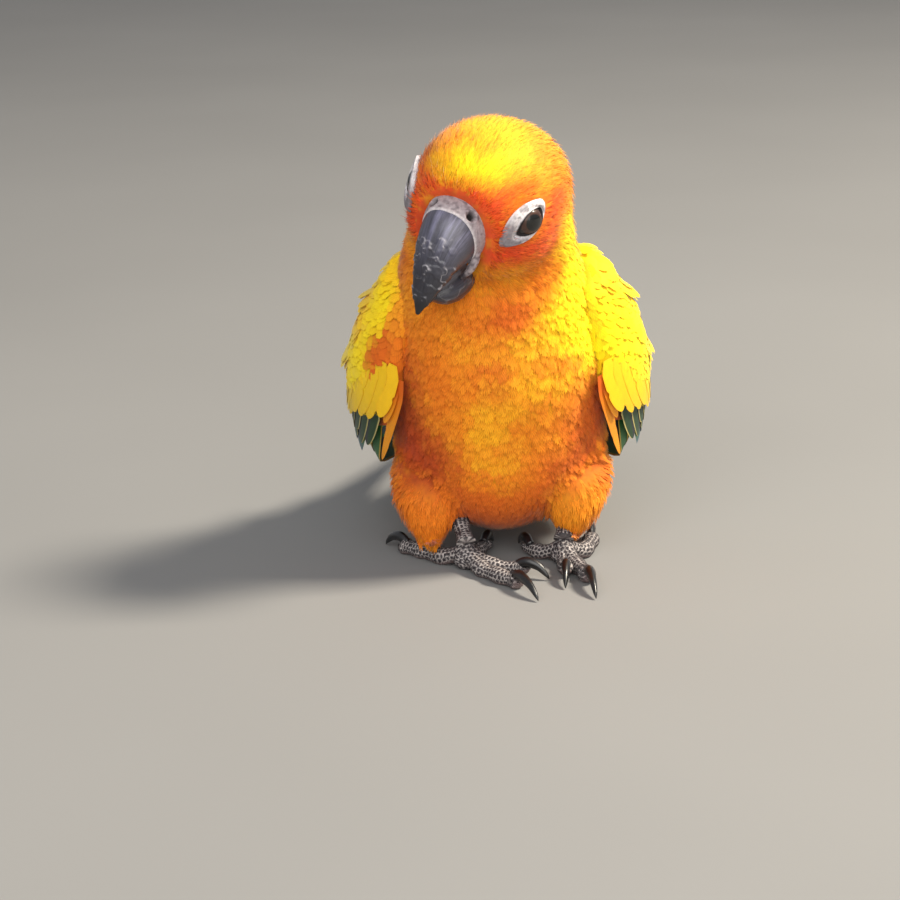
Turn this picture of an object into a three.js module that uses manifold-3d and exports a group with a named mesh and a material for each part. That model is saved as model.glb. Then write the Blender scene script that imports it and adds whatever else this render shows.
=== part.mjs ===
// A life-size sun conure standing with its head turned to its right.
// Millimetres. x is the bird's left, y runs towards the tail, z is up from the floor at z = 0.
import * as THREE from 'three';
import { mergeVertices } from 'three/addons/utils/BufferGeometryUtils.js';
import Module from 'manifold-3d';

const wasm = await Module();
wasm.setup();

// Driving dimensions
const gap = 0.3; // space kept between pieces that touch
const feather = 0.6; // thickness of a vane
const layer = 0.95; // rise from one vane to the one lying over it

const skull = { at: [-1.8, -8, 91.5], yaw: -31.1, pitch: 10.4, roll: 14.5, half: [18.7, 20.8, 19.2] };
const eye = { dir: [0.852, -0.478, 0.214], ball: 4.8, proud: 0.9, opening: [3.6, 2.3] };
const ring = { half: [6.95, 3.8], tilt: 34, shift: [-1.5, 0.85], deep: 1.1, proud: 0.3, lid: 0.5 };
const nostril = { x: 5.1, forward: 18.8, z: 5.3, radius: 0.95 };

// Stations of the trunk from the nape to the root of the tail: centre of the section, half width at
// the sides, and depth from the centre to the back and to the belly.
const trunk = [
  { x: -1.2, y: -7, z: 88, side: 20, back: 17.5, belly: 15 },
  { x: -2, y: -2.5, z: 77.5, side: 22.2, back: 18, belly: 18 },
  { x: -0.8, y: 1, z: 67, side: 24.8, back: 19, belly: 21 },
  { x: 0, y: 5, z: 56, side: 26.8, back: 20.5, belly: 25.5 },
  { x: 0, y: 10, z: 45.5, side: 28, back: 21, belly: 28.5 },
  { x: 0, y: 16.5, z: 36, side: 28.5, back: 20, belly: 34 },
  { x: 0, y: 25.5, z: 28.5, side: 26, back: 17, belly: 28.8 },
  { x: 0, y: 38, z: 23.8, side: 20.5, back: 13, belly: 16.5 },
  { x: 0, y: 53, z: 20.5, side: 13, back: 8.5, belly: 9 },
  { x: 0, y: 70, z: 17, side: 8.5, back: 4.5, belly: 5 },
];
const neckEnd = 0.2; // where the neck stops along the trunk, from 0 to 1
const torsoEnd = 0.86;

const tail = { root: [48, 21.4], tip: [163, 0.5], half: 5.6, pairs: 6, outerLength: 0.56 };

// Upper edge, crest and lower edge of the folded left wing at stations from the shoulder to the tip
const wingStations = [
  { upper: [16, 9, 82.5], crest: [24.8, 1, 77.5], lower: [21.2, -10.5, 71] },
  { upper: [16, 18, 75], crest: [32.2, 7, 65.5], lower: [23.4, -11, 58.5] },
  { upper: [15, 24.5, 65], crest: [36.6, 13, 53], lower: [25.2, -8, 45] },
  { upper: [14, 31, 54], crest: [36.8, 21.5, 41], lower: [27.6, -2, 33] },
  { upper: [11, 39, 43.5], crest: [33.4, 33, 31], lower: [29.4, 10, 19.5] },
  { upper: [6, 57, 32], crest: [24, 53, 25], lower: [24.5, 36, 14.5] },
  { upper: [2.2, 84, 21.5], crest: [13, 79, 20], lower: [17.5, 64, 13.5] },
  { upper: [0.6, 116, 15], crest: [4.5, 115, 14.6], lower: [9, 111, 13] },
];

// Tiers of the wing from the lowest to the topmost. Roots and tips are places along the wing, lanes are
// places across it from the upper edge at 0 to the lower edge at 1, and half is half a vane's width.
const tiers = [
  { count: 5, root: [0.47, 0.4], tip: [0.84, 1.0], lanes: [0.34, 0.92], ends: [0.1, 0.84], half: 5 },
  { count: 5, root: [0.33, 0.3], tip: [0.7, 0.6], lanes: [0.08, 0.7], ends: [0.08, 0.76], half: 5.4 },
  { count: 3, root: [0.28, 0.28], tip: [0.46, 0.55], lanes: [0.76, 0.95], ends: [0.78, 0.96], half: 3.4 },
  { count: 5, root: [0.2, 0.16], tip: [0.42, 0.36], lanes: [0.1, 0.84], ends: [0.12, 0.86], half: 5.8 },
  { count: 4, root: [0.1, 0.1], tip: [0.28, 0.25], lanes: [0.14, 0.84], ends: [0.15, 0.86], half: 6 },
  { count: 4, root: [0.02, 0.02], tip: [0.17, 0.15], lanes: [0.18, 0.84], ends: [0.18, 0.86], half: 5.2 },
];

// Feet: the joint of the toes, and for each toe its path on the floor, the claw's base and tip
const toeHeight = 2.15;
const feet = {
  right: {
    joint: [-9, -6, 4.2],
    hock: [-12, 6, 17],
    toes: {
      inner_front: { path: [[-2.6, -10.2], [4, -12.8]], tip: [10.6, -16.4], radius: 2.1 },
      outer_front: { path: [[-5.6, -11.6], [-1.6, -16.8], [2.4, -20.6]], tip: [7.4, -30.6], radius: 2.25 },
      outer_rear: { path: [[-15, -2.6], [-20.2, 2], [-23.9, 5.4]], tip: [-29, 11.4], radius: 2.25 },
      inner_rear: { path: [[-6.4, 0], [-4.4, 4.6]], tip: [-2.2, 11.2], radius: 2 },
    },
  },
  left: {
    joint: [14.8, -4.6, 4.2],
    hock: [16.4, 7, 17],
    toes: {
      inner_front: { path: [[14.6, -9.4], [14.9, -13.4]], tip: [14.2, -22.8], radius: 2.1 },
      outer_front: { path: [[17.2, -10], [18.9, -14.8], [19.8, -18.4]], tip: [21, -30], radius: 2.25 },
      outer_rear: { path: [[19.6, -0.8], [21.6, 4], [22.2, 7.6]], tip: [23, 15.6], radius: 2.25 },
      inner_rear: { path: [[9.8, -1.4], [6.6, 1.6]], tip: [4.2, 9.6], radius: 2 },
    },
  },
};
const shankRadius = 2.3;
const thighs = {
  right: [
    { at: [-14, 15, 33], half: [10, 11] },
    { at: [-16.5, 7, 23], half: [11.2, 12.5] },
    { at: [-17.6, 1.5, 14.5], half: [9.4, 9.6] },
    { at: [-17.6, -2.6, 6.6], half: [4.8, 4.2] },
  ],
  left: [
    { at: [14, 15, 33], half: [10, 11] },
    { at: [17, 7, 23], half: [11, 12.5] },
    { at: [17.6, 2, 14.5], half: [9, 9.6] },
    { at: [16.8, -0.6, 7], half: [4.8, 4.6] },
  ],
};

const colours = {
  crown: 0xf79a1e, gold: 0xf7a01c, flank: 0xf0801a, yellow: 0xf6cf1c, vane: 0x2f6b3a,
  horn: 0x35353b, cere: 0xc9c4c4, bare: 0xe4e2e4, iris: 0x2b1a12, scale: 0x77706e, claw: 0x17161a,
};
const surfaces = {
  plumage: { roughness: 0.85, metalness: 0 },
  skin: { roughness: 0.65, metalness: 0 },
  horn: { roughness: 0.4, metalness: 0 },
  eye: { roughness: 0.08, metalness: 0 },
};

const mix = (a, b, t) => a + (b - a) * t;
const clamp = (value, low, high) => Math.min(high, Math.max(low, value));
const degrees = (angle) => (angle * Math.PI) / 180;
const vector = (values) => new THREE.Vector3(...values);

// Seeded noise from -1 to 1, the same for the same whole number
function wander(seed) {
  const wave = Math.sin(seed * 12.9898 + 4.137) * 43758.5453;
  return 2 * (wave - Math.floor(wave)) - 1;
}

// Value of a list of numbers at t from 0 to 1 on a Catmull-Rom curve through them
function along(values, t) {
  const place = clamp(t, 0, 1) * (values.length - 1);
  const index = Math.min(Math.floor(place), values.length - 2);
  const f = place - index;
  const b = values[index];
  const c = values[index + 1];
  const a = index > 0 ? values[index - 1] : 2 * b - c;
  const d = index + 2 < values.length ? values[index + 2] : 2 * c - b;
  return b + 0.5 * f * (c - a + f * (2 * a - 5 * b + 4 * c - d + f * (3 * (b - c) + d - a)));
}

const alongPoints = (points, t) => new THREE.Vector3(
  along(points.map((p) => p[0]), t), along(points.map((p) => p[1]), t), along(points.map((p) => p[2]), t));

// A closed geometry as a manifold-3d solid, with its faces turned out
function solid(geometry) {
  const bare = geometry.clone();
  bare.deleteAttribute('normal');
  bare.deleteAttribute('uv');
  const merged = mergeVertices(bare, 1e-4);
  const vertices = new Float32Array(merged.attributes.position.array);
  const faces = [];
  const index = merged.index.array;
  let volume = 0;
  for (let i = 0; i < index.length; i += 3) {
    const [a, b, c] = [index[i], index[i + 1], index[i + 2]];
    if (a === b || b === c || c === a) continue;
    faces.push(a, b, c);
    const [p, q, r] = [a, b, c].map((k) => new THREE.Vector3().fromArray(vertices, 3 * k));
    volume += p.dot(q.cross(r));
  }
  if (volume < 0) {
    for (let i = 0; i < faces.length; i += 3) [faces[i], faces[i + 1]] = [faces[i + 1], faces[i]];
  }
  return new wasm.Manifold(new wasm.Mesh({
    numProp: 3, vertProperties: vertices, triVerts: new Uint32Array(faces),
  }));
}

// The biggest closed surface of a solid, as a geometry
function body(shape) {
  const pieces = shape.decompose().sort((a, b) => b.volume() - a.volume());
  const mesh = pieces[0].getMesh();
  const geometry = new THREE.BufferGeometry();
  geometry.setAttribute('position', new THREE.BufferAttribute(new Float32Array(mesh.vertProperties), 3));
  geometry.setIndex(new THREE.BufferAttribute(new Uint32Array(mesh.triVerts), 1));
  geometry.computeVertexNormals();
  return geometry;
}

// Everything under the floor, which leaves a small flat wherever the bird rests on it
const underFloor = new THREE.BoxGeometry(200, 400, 20);
underFloor.translate(0, 60, -10);
const belowFloor = solid(underFloor);

const unite = (shapes) => shapes.reduce((sum, shape) => sum.add(shape));
const cut = (shape, tools) => tools.reduce((rest, tool) => rest.subtract(tool), shape);

// A closed tube of moved vertices: place(t, angle, r) gives the point at t along it, with the angle from
// the section's top and r from 0 on the axis to 1 on the skin
function sweep(around, steps, place) {
  const geometry = new THREE.CylinderGeometry(1, 1, 1, around, steps);
  const position = geometry.attributes.position;
  for (let i = 0; i < position.count; i += 1) {
    const [x, y, z] = [position.getX(i), position.getY(i), position.getZ(i)];
    const point = place(y + 0.5, Math.atan2(x, z), Math.hypot(x, z));
    position.setXYZ(i, point.x, point.y, point.z);
  }
  return solid(geometry);
}

// A sphere whose vertices are moved by place(direction)
function globe(around, steps, place) {
  const geometry = new THREE.SphereGeometry(1, around, steps);
  const position = geometry.attributes.position;
  for (let i = 0; i < position.count; i += 1) {
    const point = place(new THREE.Vector3().fromBufferAttribute(position, i));
    position.setXYZ(i, point.x, point.y, point.z);
  }
  return solid(geometry);
}

// A thin closed slab of steps by across cells: place(t, q, top) gives a point at t along and q across,
// from -1 to 1, on the top face or the lower one. Both faces are split by the same diagonals.
function slab(steps, across, place) {
  const points = [];
  const faces = [];
  for (const top of [true, false]) {
    for (let i = 0; i <= steps; i += 1) {
      for (let j = 0; j <= across; j += 1) points.push(...place(i / steps, (2 * j) / across - 1, top).toArray());
    }
  }
  const row = across + 1;
  const sheet = (steps + 1) * row;
  const quad = (a, b, c, d) => faces.push(a, b, c, a, c, d);
  for (let i = 0; i < steps; i += 1) {
    for (let j = 0; j < across; j += 1) {
      const k = i * row + j;
      quad(k, k + 1, k + row + 1, k + row);
      faces.push(sheet + k, sheet + k + row + 1, sheet + k + 1);
      faces.push(sheet + k, sheet + k + row, sheet + k + row + 1);
    }
    const [left, right] = [i * row, i * row + across];
    quad(left, left + row, sheet + left + row, sheet + left);
    quad(right + row, right, sheet + right, sheet + right + row);
  }
  for (let j = 0; j < across; j += 1) {
    const end = steps * row + j;
    quad(j + 1, j, sheet + j, sheet + j + 1);
    quad(end, end + 1, sheet + end + 1, sheet + end);
  }
  const geometry = new THREE.BufferGeometry();
  geometry.setAttribute('position', new THREE.BufferAttribute(new Float32Array(points), 3));
  geometry.setIndex(faces);
  return solid(geometry);
}

// Half width of a vane at t from its root: narrow at the root, full in the middle, pointed at the tip
const vaneWidth = (t, half) => half * Math.max(0.08, Math.min(0.5 + 2.4 * t, 1) * (1 - t ** 4) ** 0.6);

// Trunk: the section at t, and its point at an angle from the back, grown outwards by more
const trunkValue = (name, t) => along(trunk.map((station) => station[name]), t);
function trunkFrame(t) {
  const [before, after] = [Math.max(t - 0.01, 0), Math.min(t + 0.01, 1)];
  const dy = trunkValue('y', after) - trunkValue('y', before);
  const dz = trunkValue('z', after) - trunkValue('z', before);
  const size = Math.hypot(dy, dz);
  return {
    centre: new THREE.Vector3(trunkValue('x', t), trunkValue('y', t), trunkValue('z', t)),
    back: new THREE.Vector3(0, -dz / size, dy / size),
    heading: new THREE.Vector3(0, dy / size, dz / size),
  };
}
function trunkPoint(t, angle, r, more) {
  const frame = trunkFrame(t);
  const deep = trunkValue(Math.cos(angle) > 0 ? 'back' : 'belly', t) + more;
  return frame.centre
    .add(new THREE.Vector3(Math.sin(angle) * (trunkValue('side', t) + more) * r, 0, 0))
    .addScaledVector(frame.back, Math.cos(angle) * deep * r);
}
const trunkPiece = (from, to, steps, more) => sweep(22, steps, (t, angle, r) => {
  const end = t < 0.5 ? -more : more;
  const point = trunkPoint(mix(from, to, t), angle, r, more);
  return t === 0 || t === 1 ? point.addScaledVector(trunkFrame(mix(from, to, t)).heading, end) : point;
});

// Head: an oval skull with fuller cheeks and a face that narrows towards the bill
const turn = new THREE.Matrix4()
  .makeTranslation(...skull.at)
  .multiply(new THREE.Matrix4().makeRotationZ(degrees(skull.yaw)))
  .multiply(new THREE.Matrix4().makeRotationX(degrees(skull.pitch)))
  .multiply(new THREE.Matrix4().makeRotationY(degrees(skull.roll)));
const onHead = (point) => point.applyMatrix4(turn);
function skullPoint(direction, more) {
  const front = Math.max(0, -direction.y) ** 2;
  const low = Math.max(0, -direction.z);
  const cheek = Math.exp(-8 * ((direction.y + 0.45) ** 2 + (direction.z + 0.5) ** 2));
  const side = skull.half[0] * (1 - 0.1 * front + 0.06 * cheek) + more;
  const lift = skull.half[2] * (1 - 0.06 * front * (1 - low)) + more;
  const square = 1 + 0.08 * (1 - direction.x ** 4 - direction.y ** 4 - direction.z ** 4);
  return new THREE.Vector3(
    direction.x * side, direction.y * (skull.half[1] * (1 - 0.04 * low) + more), direction.z * lift)
    .multiplyScalar(square);
}
const skullSolid = (more) => globe(22, 15, (direction) => onHead(skullPoint(direction, more)));

// Bill: sections between its ridge and its cutting edge, each given as [forward, up], with half widths
const upperBill = {
  ridge: [[11, 7.2], [16.6, 6.6], [21.2, 4.4], [24.6, 0.4], [27, -5.4], [28.8, -11.4], [29.9, -17.3]],
  edge: [[11, -7], [14, -8.2], [18, -9.4], [22, -10.2], [25.2, -12], [27.6, -14.6], [29.3, -16.9]],
  half: [7.1, 7.4, 6.7, 5.5, 4.1, 2.5, 0.5],
};
const lowerBill = {
  ridge: [[9, -9.6], [13.5, -11], [18, -12.2], [21.8, -13.2], [24.2, -14.4]],
  edge: [[9, -16.4], [13.5, -18.2], [17.6, -18.8], [21.6, -17.9], [24.6, -15.6]],
  half: [4.4, 4.8, 4.9, 4, 1.8],
};
const cereEnd = 0.3; // where the cere stops and the horn starts along the upper bill
function billSolid(shape, from, to, steps, more) {
  const pick = (line, axis, t) => along(line.map((p) => p[axis]), t);
  return sweep(14, steps, (t, angle, r) => {
    const place = mix(from, to, t);
    const ridge = new THREE.Vector3(0, -pick(shape.ridge, 0, place), pick(shape.ridge, 1, place));
    const edge = new THREE.Vector3(0, -pick(shape.edge, 0, place), pick(shape.edge, 1, place));
    const rise = ridge.clone().sub(edge);
    const deep = rise.length() / 2 + more;
    const wide = along(shape.half, place) + more;
    const square = Math.sign(Math.sin(angle)) * Math.abs(Math.sin(angle)) ** 0.8;
    const heading = new THREE.Vector3(0, -rise.z, rise.y).normalize();
    const point = ridge.add(edge).multiplyScalar(0.5);
    point.x = square * wide * r;
    point.addScaledVector(rise.normalize(), Math.cos(angle) * deep * r);
    if (t === 0) point.addScaledVector(heading, -more);
    if (t === 1) point.addScaledVector(heading, more);
    return onHead(point);
  });
}

// Eyes and the bare skin round them, on the side of the head given by 1 for the left or -1
function eyePlace(side) {
  const direction = vector(eye.dir).normalize();
  const surface = skullPoint(direction, 0);
  const out = new THREE.Vector3(
    surface.x / skull.half[0] ** 2, surface.y / skull.half[1] ** 2, surface.z / skull.half[2] ** 2).normalize();
  surface.x *= side;
  out.x *= side;
  const back = new THREE.Vector3(0, 1, 0).addScaledVector(out, -out.y).normalize();
  const up = new THREE.Vector3().crossVectors(back, out).normalize();
  if (up.z < 0) up.negate();
  const lean = degrees(ring.tilt);
  const long = back.clone().multiplyScalar(Math.cos(lean)).addScaledVector(up, Math.sin(lean));
  const short = up.clone().multiplyScalar(Math.cos(lean)).addScaledVector(back, -Math.sin(lean));
  return { surface, out, long, short };
}
function ballSolid(side, more) {
  const { surface, out } = eyePlace(side);
  const centre = surface.clone().addScaledVector(out, eye.proud - eye.ball);
  return globe(12, 8, (direction) => onHead(direction.multiplyScalar(eye.ball + more).add(centre)));
}
// Almond prism that bounds the bare skin: its half widths shrink towards both corners
function almondSolid(side, more) {
  const { surface, out, long, short } = eyePlace(side);
  return sweep(16, 1, (t, angle, r) => {
    const [a, b] = [Math.cos(angle), Math.sin(angle)];
    const reach = (ring.half[0] + more) * r * a + ring.shift[0];
    const width = (ring.half[1] + more) * r * b * (1 - 0.32 * a * a) + ring.shift[1];
    return onHead(surface.clone().addScaledVector(long, reach).addScaledVector(short, width)
      .addScaledVector(out, mix(-6, 4, t)));
  });
}
const almonds = { left: almondSolid(1, 0), right: almondSolid(-1, 0) };
const almondHoles = { left: almondSolid(1, gap), right: almondSolid(-1, gap) };
const eyeSides = { left: 1, right: -1 };

function ringSolid(name) {
  const side = eyeSides[name];
  const { surface, out, long, short } = eyePlace(side);
  const patch = almonds[name].intersect(skullSolid(ring.proud)).subtract(skullSolid(-ring.deep));
  const lid = new THREE.TorusGeometry(eye.opening[0], ring.lid, 4, 14);
  lid.scale(1, eye.opening[1] / eye.opening[0], 1);
  lid.applyMatrix4(new THREE.Matrix4().makeBasis(long, short, out).setPosition(surface));
  lid.applyMatrix4(turn);
  return unite([patch, solid(lid)]).subtract(ballSolid(side, gap));
}

function nostrilSolid(side) {
  const pit = new THREE.SphereGeometry(nostril.radius, 12, 8);
  pit.scale(0.8, 1.5, 1);
  pit.translate(side * nostril.x, -nostril.forward, nostril.z);
  pit.applyMatrix4(turn);
  return solid(pit);
}

// Folded wing: a curved guide surface, u from the shoulder to the tip and v from the upper edge to the
// lower one, with the wing's core under it and the tiers of vanes shingled over it
function wingPoint(u, v) {
  const [upper, crest, lower] = ['upper', 'crest', 'lower'].map(
    (name) => alongPoints(wingStations.map((station) => station[name]), u));
  return upper.multiplyScalar((1 - v) * (1 - 2 * v)).addScaledVector(crest, 4 * v * (1 - v))
    .addScaledVector(lower, v * (2 * v - 1));
}
function wingSurface(u, v) {
  const [before, after] = [Math.max(u - 0.01, 0), Math.min(u + 0.01, 1)];
  const acrossStep = wingPoint(u, v + 0.01).sub(wingPoint(u, v - 0.01));
  const alongStep = wingPoint(after, v).sub(wingPoint(before, v));
  const out = new THREE.Vector3().crossVectors(alongStep, acrossStep).normalize();
  if (out.x < 0) out.negate();
  return { point: wingPoint(u, v), out, span: acrossStep.length() / 0.02 };
}
const wingCore = 0.62; // how far the solid arm of the wing reaches under its vanes
const wingDepth = (u) => mix(10, 1.3, clamp((u - 0.35) / 0.25, 0, 1));

function wingVane(tier, k) {
  const share = k / (tier.count - 1);
  const vary = wander(31 * tier.count + 7 * k);
  const rootU = mix(...tier.root, share);
  const tipU = Math.min(mix(...tier.tip, share) + 0.008 * vary, 1);
  const lane = (t) => mix(mix(...tier.lanes, share), mix(...tier.ends, share), t);
  const step = (t) => mix(tier.lanes[1] - tier.lanes[0], tier.ends[1] - tier.ends[0], t) / (tier.count - 1);
  return slab(4, 1, (t, q, top) => {
    const u = mix(rootU, tipU, t);
    const v = lane(t);
    const half = vaneWidth(t, tier.half * (1 + 0.05 * vary)) / wingSurface(u, v).span;
    const offset = q * Math.min(half, 1.7 * step(t));
    const { point, out } = wingSurface(u, clamp(v + offset, 0.01, 1.02));
    const rise = mix(-1.1, 1.3, t) + (layer * offset * Math.min(1, 4 * t)) / step(t);
    return point.addScaledVector(out, rise - (top ? 0 : feather));
  });
}

function wingSolid() {
  const core = slab(9, 4, (t, q, top) => {
    const { point, out } = wingSurface(wingCore * t, mix(0.04, 0.96, (q + 1) / 2));
    return point.addScaledVector(out, top ? -0.5 : -0.5 - wingDepth(wingCore * t));
  });
  const vanes = tiers.flatMap((tier) => Array.from({ length: tier.count }, (_, k) => wingVane(tier, k)));
  const otherHalf = new THREE.BoxGeometry(40, 300, 200);
  otherHalf.translate(gap / 2 - 20, 60, 50);
  return unite([core, ...vanes]).subtract(solid(otherHalf));
}

// Tail: a tapered root that carries pairs of long vanes, the middle pair longest and on top, with short
// coverts over and under them
function tailVane(side, pair, options) {
  const { from, length, half, lift, fan, spread } = options;
  const [rootY, rootZ] = tail.root;
  const slope = (tail.tip[1] - rootZ) / (tail.tip[0] - rootY);
  const inner = (spot, wide) => (pair === 0 ? wide : Math.min(wide, Math.max(spot - 0.2, 0.3)));
  return slab(5, 1, (t, q, top) => {
    const y = from + length * t;
    const spot = spread + fan * length * t;
    const wide = vaneWidth(t, half);
    const reach = q < 0 ? -inner(spot, wide) : q * wide;
    const z = rootZ + slope * (y - rootY) + lift - (top ? 0 : feather);
    return new THREE.Vector3(side * (spot + reach), y, z);
  });
}

function tailSolid() {
  const whole = tail.tip[0] - tail.root[0];
  const vanes = [];
  for (let pair = 0; pair < tail.pairs; pair += 1) {
    const share = pair / (tail.pairs - 1);
    for (const side of [1, -1]) {
      const level = pair === 0 && side === 1 ? 0 : -layer * (pair + 1);
      vanes.push(tailVane(side, pair, {
        from: tail.root[0], length: whole * mix(1, tail.outerLength, share), half: tail.half, lift: level + layer,
        fan: 0.005 * pair, spread: 0.35 + 1.4 * pair,
      }));
    }
  }
  const coverts = [[1.6, 20, 2.2, 4.4], [1.6, 11, 3.3, 4.6], [5, 15, 1.4, 4]];
  coverts.forEach(([spread, reach, lift, half], row) => {
    for (const side of [1, -1]) {
      const spot = { from: tail.root[0] - 2 + 3 * row, length: reach + 14, half, lift, fan: 0.02, spread };
      vanes.push(tailVane(side, 1, spot));
    }
  });
  const root = trunkPiece(torsoEnd, 1, 5, 0);
  return unite([root, ...vanes]);
}

// Thigh: a feathered cone from the flank to the top of the foot
function thighSolid(name, more) {
  const rows = thighs[name];
  return sweep(14, 6, (t, angle, r) => {
    const centre = alongPoints(rows.map((row) => row.at), t);
    const wide = along(rows.map((row) => row.half[0]), t) + more;
    const deep = along(rows.map((row) => row.half[1]), t) + more;
    centre.x += Math.sin(angle) * wide * r;
    centre.y += Math.cos(angle) * deep * r;
    if (t === 0) centre.z += more;
    if (t === 1) centre.z -= more;
    return centre;
  });
}

// A round limb along points with a radius at each, closed by flat ends
function limb(points, radii, around, steps, more) {
  const place = (t) => alongPoints(points, t);
  return sweep(around, steps, (t, angle, r) => {
    const heading = place(Math.min(t + 0.02, 1)).sub(place(Math.max(t - 0.02, 0))).normalize();
    const side = new THREE.Vector3(-heading.y, heading.x, 0.001).normalize();
    const up = new THREE.Vector3().crossVectors(heading, side).normalize();
    const radius = (along(radii, t) + more) * r;
    const point = place(t).addScaledVector(side, Math.sin(angle) * radius).addScaledVector(up, Math.cos(angle) * radius);
    if (t === 0) point.addScaledVector(heading, -more);
    if (t === 1) point.addScaledVector(heading, more);
    return point;
  });
}

// Shank, from inside the thigh to the joint of the toes
const shankSolid = (foot, more) => limb(
  [foot.hock, foot.hock.map((value, i) => mix(value, foot.joint[i], 0.5)),
    [foot.joint[0], foot.joint[1], foot.joint[2] + 2.6]],
  [shankRadius + 0.4, shankRadius - 0.2, shankRadius + 0.3], 10, 4, more);

// Toe: knuckled pads laid on the floor, from the joint to the claw's base
function toeSolid(foot, toe) {
  const points = [foot.joint, ...toe.path.map(([x, y]) => [x, y, toeHeight])];
  const last = points[points.length - 1];
  const claw = vector([toe.tip[0], toe.tip[1], 0]).sub(vector([last[0], last[1], 0])).normalize();
  const end = [last[0] + 0.8 * claw.x, last[1] + 0.8 * claw.y, toeHeight + 0.6];
  const radii = points.map((_, i) => toe.radius + (i === 0 ? 0.5 : 0.15 * (i % 2)));
  return limb([...points, end], [...radii, 1.7], 8, Math.round(1.5 * points.length), 0);
}

// Claw: a curved cone that arches from the toe's end down to the floor
function clawSolid(toe, more) {
  const [x, y] = toe.path[toe.path.length - 1];
  const [dx, dy] = [toe.tip[0] - x, toe.tip[1] - y];
  const at = (f, z) => [x + f * dx, y + f * dy, z];
  const points = [at(-0.1, 2.9), at(0.25, 3.9), at(0.62, 3.2), at(0.9, 1.5), at(1, 0.45)];
  return limb(points, [1.15, 1.2, 0.95, 0.55, 0.16], 7, 5, more);
}

function footSolid(foot) {
  const pad = new THREE.SphereGeometry(3.3, 12, 8);
  pad.scale(1, 1, 0.85);
  pad.translate(foot.joint[0], foot.joint[1], foot.joint[2] - 1.7);
  const toes = Object.values(foot.toes);
  const whole = unite([solid(pad), ...toes.map((toe) => toeSolid(foot, toe))]);
  return cut(whole, [belowFloor, shankSolid(foot, gap), ...toes.map((toe) => clawSolid(toe, gap))]);
}

const bird = new THREE.Group();
function add(name, shape, colour, surface) {
  const mesh = new THREE.Mesh(body(shape), new THREE.MeshStandardMaterial({ color: colour, ...surface }));
  mesh.name = name;
  bird.add(mesh);
}

// Head, bill and eyes
const cereGrown = billSolid(upperBill, 0, cereEnd, 4, gap);
const hornGrown = billSolid(upperBill, cereEnd, 1, 10, gap);
const lowerGrown = billSolid(lowerBill, 0, 1, 8, gap);
const balls = { left: ballSolid(1, 0), right: ballSolid(-1, 0) };
const ballHoles = [ballSolid(1, gap), ballSolid(-1, gap)];
const almondFloor = skullSolid(-ring.deep - gap);
const sockets = Object.values(almondHoles).map((hole) => hole.subtract(almondFloor));
const skullShape = skullSolid(0);
add('head', cut(skullShape, [cereGrown, hornGrown, lowerGrown, ...ballHoles, ...sockets]),
  colours.crown, surfaces.plumage);
add('cere', cut(billSolid(upperBill, 0, cereEnd, 4, 0), [nostrilSolid(1), nostrilSolid(-1)]),
  colours.cere, surfaces.skin);
add('upper_bill', cut(billSolid(upperBill, cereEnd, 1, 10, 0), [cereGrown]), colours.horn, surfaces.horn);
add('lower_bill', cut(billSolid(lowerBill, 0, 1, 8, 0), [cereGrown, hornGrown]), colours.horn, surfaces.horn);
for (const name of ['left', 'right']) {
  add(`eye_${name}`, balls[name], colours.iris, surfaces.eye);
  add(`eye_ring_${name}`, cut(ringSolid(name), [cereGrown]), colours.bare, surfaces.skin);
}

// Neck and torso
const skullGrown = skullSolid(gap);
const neckCut = trunkPiece(neckEnd, 0.3, 4, gap);
add('neck', cut(trunkPiece(0, neckEnd + 0.02, 5, 0), [skullGrown, neckCut, cereGrown, lowerGrown]),
  colours.gold, surfaces.plumage);
const thighHoles = ['left', 'right'].map((name) => thighSolid(name, gap));
const shankHoles = Object.values(feet).map((foot) => shankSolid(foot, gap));
const tailRoot = trunkPiece(torsoEnd, 0.92, 2, gap);
add('torso', cut(trunkPiece(neckEnd, torsoEnd, 13, 0), [skullGrown, tailRoot, ...thighHoles, ...shankHoles]),
  colours.gold, surfaces.plumage);
const trunkHoles = [trunkPiece(0, neckEnd, 5, gap), trunkPiece(neckEnd, torsoEnd, 13, gap)];

// Tail
const tailShape = cut(tailSolid(), [belowFloor, trunkPiece(neckEnd, torsoEnd, 13, gap)]);
add('tail', tailShape, colours.vane, surfaces.plumage);

// Wings
const wing = wingSolid();
const wingHoles = [...trunkHoles, skullGrown, ...thighHoles, trunkPiece(torsoEnd, 1, 5, gap)];
add('wing_left', cut(wing, wingHoles), colours.yellow, surfaces.plumage);
add('wing_right', cut(wing.mirror([1, 0, 0]), wingHoles), colours.yellow, surfaces.plumage);

// Legs, feet and claws
for (const [name, foot] of Object.entries(feet)) {
  add(`thigh_${name}`, cut(thighSolid(name, 0), [shankSolid(foot, gap)]), colours.flank, surfaces.plumage);
  add(`shank_${name}`, shankSolid(foot, 0), colours.scale, surfaces.skin);
  add(`foot_${name}`, footSolid(foot), colours.scale, surfaces.skin);
  for (const [toeName, toe] of Object.entries(foot.toes)) {
    add(`claw_${name}_${toeName}`, clawSolid(toe, 0), colours.claw, surfaces.horn);
  }
}

// The origin is the middle of the bird's outer box at floor level
const box = new THREE.Box3().setFromObject(bird);
const middle = box.getCenter(new THREE.Vector3());
bird.position.set(-middle.x, -middle.y, 0);

export default bird;
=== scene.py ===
# A sun conure as a still, life-size model: skin, coat of feathers, wings, tail, bill, eyes and feet.
# Shapes are worked out in millimetres, x to the bird's left, y towards the tail and z up from the floor,
# and meshPiece sets them into the row's frame in metres.
import math
import bpy
import numpy as np
from mathutils import Matrix, Vector
from mathutils.bvhtree import BVHTree


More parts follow.
